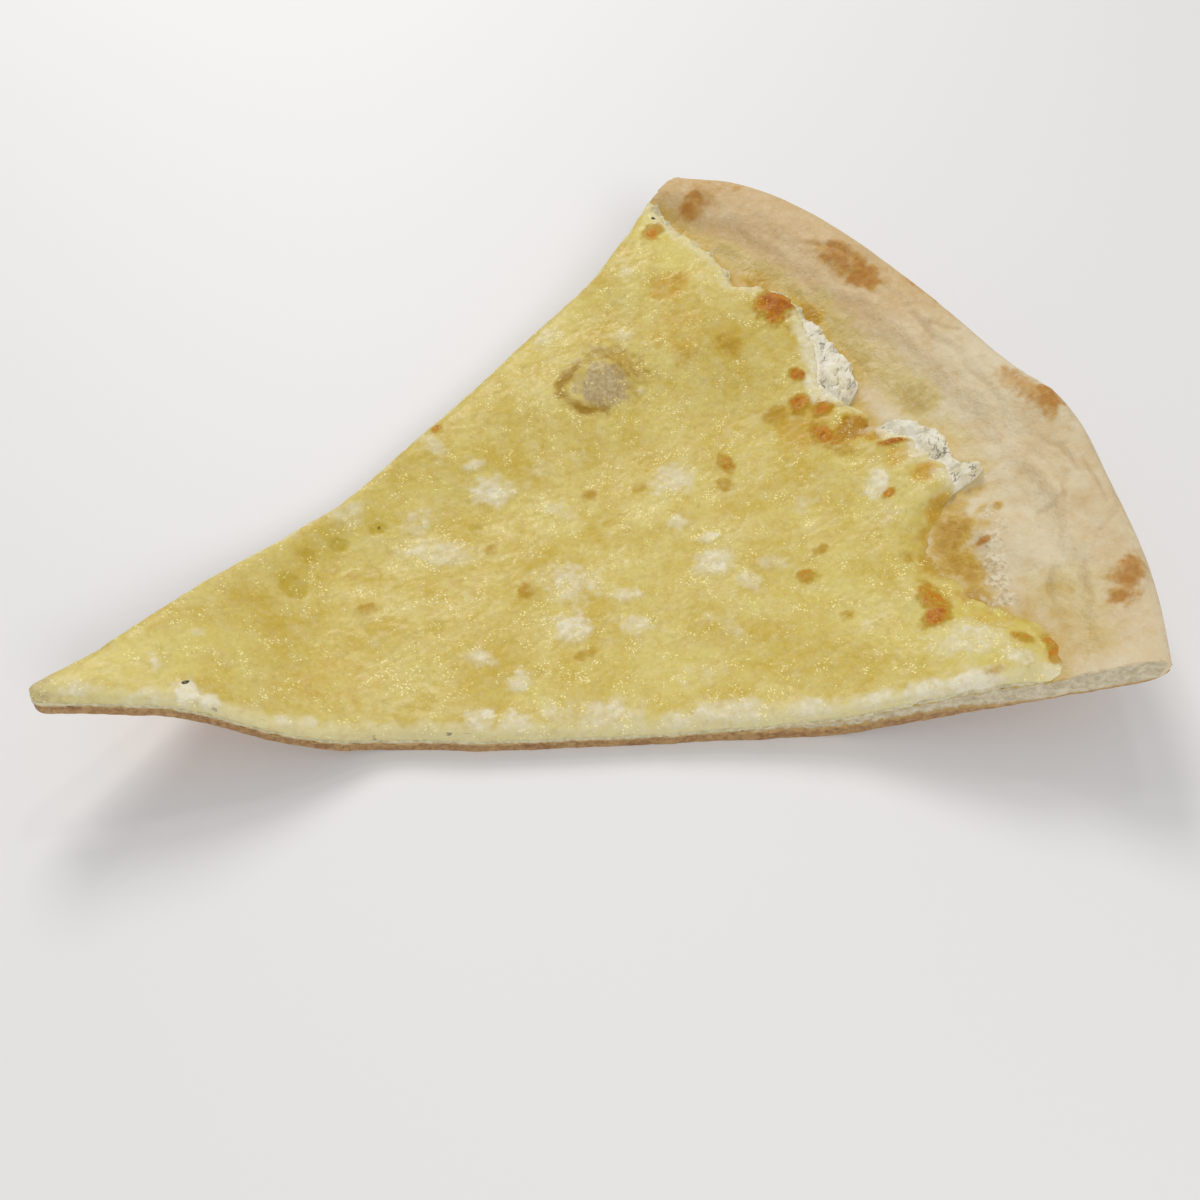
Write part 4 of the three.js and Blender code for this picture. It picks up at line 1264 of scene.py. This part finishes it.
# ---- the pieces ----
def make_dough():
    rows = np.concatenate([
        rows_between(0, BARE_FROM, DOUGH_REACH, WALL_STEP),
        rows_between(BARE_FROM, DOUGH_ROUND_FROM, DOUGH_REACH, BARE_STEP),
        rounded_rows(DOUGH_ROUND_FROM, 16),
    ])
    steps = finer_past(BARE_FINE_PAST, COVERED_STEP, BARE_STEP), steady(UNDER_STEP)
    body = Body(rim_reach, rows, *steps, dough_top, dough_bottom, 8)
    height = height_share(body.points, dough_bottom, dough_top)
    points = crumb_walls(body.points, *DOUGH_CRUMB, smooth((height - 0.1) / 0.4))
    x, y, away, toward = body.places()
    inside = in_from_edge(away, toward)
    at_cut = smooth(1 - distance_to_cut(away, toward) / 0.5) * smooth((inside - 0.3) / 2)
    # how high the browned base reaches up the cut faces, in mm
    brown_band = 0.3 + 2.9 * smooth((212 - away) / 26) + 0.6 * rough(away, 0 * away, 9, 95)
    base_at_cut = np.clip((brown_band - height * dough_thickness(away, toward)) / 2.2 + 0.5, 0, 1)
    under = np.where(height < 0.02, 1, base_at_cut * at_cut)
    around_rim = smooth(1 - inside / 1.5) * smooth((0.62 - height) / 0.5)
    rim_end = smooth((-17 - toward) / 4) * smooth((away - 216) / 5)
    marks = {
        "toasted": rim_spots(x, y),
        "stain": np.maximum(stained(x, y), 0.5 * smooth(1 - past_cover(away, toward) / 6)),
        "crinkle": spots(x, y, CRINKLED),
        "oiled": spots(x, y, OILED, 0.3, 1.4),
        "warm": smooth((toward + 3) / 11),
        "crease_shade": groove_shade(x, y),
        # painted highlight along the ridge at the roll's foot, and flour at the rim's front end
        "flour_and_highlight": np.maximum(ridge_highlight(x, y), 0.8 * rim_end),
        "cut": at_cut * (height < 0.995),
        "under": np.maximum(under, around_rim),
    }
    make_piece("dough", "crust", points, body.faces, marks, dough_material())


def height_share(points, bottom, top):
    """Where each point lies between two surfaces, from 0 to 1."""
    low = bottom(points[:, 0], points[:, 1])
    high = top(points[:, 0], points[:, 1])
    return np.clip((points[:, 2] - low) / np.maximum(high - low, 0.01), 0, 1)


def make_ricotta():
    rows = np.concatenate([
        rows_between(0, RICOTTA_FINE_FROM, RICOTTA_REACH, RICOTTA_STEP),
        rows_between(RICOTTA_FINE_FROM, RICOTTA_ROUND_FROM, RICOTTA_REACH, RICOTTA_FINE_STEP),
        rounded_rows(RICOTTA_ROUND_FROM, 8),
    ])
    steps = finer_past(RICOTTA_FINE_PAST, RICOTTA_HIDDEN_STEP, RICOTTA_SHOWN_STEP), steady(RICOTTA_UNDER_STEP)
    body = Body(ricotta_reach, rows, *steps, ricotta_top, ricotta_bottom, 3, RICOTTA_INSET)
    points = crumb_walls(body.points, *RICOTTA_CRUMB)
    x, y, away, toward = body.places()
    _, _, shown = ricotta_shown(away, toward)
    at_cut = smooth(1 - distance_to_cut(away, toward) / 0.8)
    height = height_share(body.points, ricotta_bottom, ricotta_top)
    marks = {
        # painted shade where the crumb relief is low
        "crevice_shade": smooth((-0.35 - ricotta_crumb(x, y)) / 0.9) * (1 - at_cut),
        "creamy": np.maximum(at_cut, smooth((4.5 - shown) / 3)),
        "foot": at_cut * smooth(1 - height / 0.75) * smooth((190 - away) / 60),
    }
    make_piece("ricotta_curd", "ricotta", points, body.faces, marks, ricotta_material())


def make_cheese():
    rows = np.concatenate([
        rows_between(0, CHEESE_ROUND_FROM, CHEESE_REACH, CHEESE_STEP),
        rounded_rows(CHEESE_ROUND_FROM, 6),
    ])
    steps = steady(CHEESE_STEP), steady(CHEESE_UNDER_STEP)
    body = Body(cheese_reach, rows, *steps, cheese_top, cheese_bottom, 2, CHEESE_INSET)
    points = crumb_walls(body.points, *CHEESE_CRUMB)
    x, y, away, toward = body.places()
    cream_width = np.where(toward < 0, 6.5, 2)
    from_cut = distance_to_cut(away, toward) + 1.6 * rough(x, y, 6, 56)
    by_dip = 0.2 + 0.8 * smooth((toward - RUN_DOWN) / 12)
    skin, seep_and_shade = skin_marks(x, y)
    marks = {
        "toasted": toasted_spots(x, y),
        "amber": spots(x, y, AMBER),
        "soaked": soaked_border(x, y),
        "curd": curd_spots(x, y),
        "olive": spots(x, y, OLIVE),
        "lemon": spots(x, y, LEMON, 0.3, 1.2),
        "skin": np.maximum(skin, 0.75 * smooth((14 - away) / 9)),
        "seep_and_shade": seep_and_shade,
        "fleck": spots(x, y, FLECKS, 0, 0.5),
        "edge": smooth(1 - from_cut / cream_width),
        "verge": by_dip * smooth(1 - (cheese_reach(toward) - away) / 7),
        "tip": smooth(1 - away / 45),
    }
    make_piece("melted_cheese", "cheese", points, body.faces, marks, cheese_material())


def soaked_border(x, y):
    """The cheese's border along the big dough bubble, where it has sunk in and browned."""
    away, toward = polar(x, y)
    from_border = through(CHEESE_BORDER, toward) - away + 1.5 * rough(x, y, 4, 58)
    strength = 0.35 + 0.65 * smooth((toward + 17) / 3)
    return strength * smooth(1 - from_border / 5) * smooth((RUN_DOWN - toward) / 2)


# ---- floor, light and camera ----
def make_floor():
    mesh = bpy.data.meshes.new("floor")
    corners = [(x * FLOOR_HALF, y * FLOOR_HALF, 0) for x, y in ((-1, -1), (1, -1), (1, 1), (-1, 1))]
    mesh.from_pydata(corners, [], [(0, 1, 2, 3)])
    mesh.materials.append(Paint("floor", FLOOR_GREY).finish(Roughness=0.6))
    floor = bpy.data.objects.new("floor", mesh)
    bpy.context.scene.collection.objects.link(floor)


def make_light(name, place, size, power, tint):
    data = bpy.data.lights.new(name, "AREA")
    data.shape = "DISK"
    data.size = size
    data.energy = power
    data.color = tint
    light = bpy.data.objects.new(name, data)
    bpy.context.scene.collection.objects.link(light)
    light.location = place
    aim = -light.location
    light.rotation_euler = aim.to_track_quat("-Z", "Y").to_euler()


def make_lights():
    world = bpy.data.worlds.new("studio")
    bpy.context.scene.world = world
    world.use_nodes = True
    background = world.node_tree.nodes["Background"]
    background.inputs["Color"].default_value = (1, 1, 1, 1)
    background.inputs["Strength"].default_value = WORLD_STRENGTH
    for light in LIGHTS:
        make_light(*light)


def make_camera():
    data = bpy.data.cameras.new("camera")
    data.sensor_width = SENSOR_WIDTH
    data.lens = CAMERA_LENS
    data.clip_start = CAMERA_NEAR
    camera = bpy.data.objects.new("camera", data)
    bpy.context.scene.collection.objects.link(camera)
    turn = Matrix.Rotation(math.radians(CAMERA_HEADING - 90), 4, "Z")
    turn = turn @ Matrix.Rotation(math.radians(90 - CAMERA_DOWN), 4, "X")
    turn = turn @ Matrix.Rotation(math.radians(CAMERA_ROLL), 4, "Z")
    place = to_frame(np.array([CAMERA_AT]))[0]
    camera.matrix_world = Matrix.Translation(place) @ turn
    bpy.context.scene.camera = camera


def set_colours():
    bpy.context.scene.view_settings.view_transform = "Standard"


make_camera()
make_floor()
make_lights()
set_colours()
make_dough()
make_ricotta()
make_cheese()
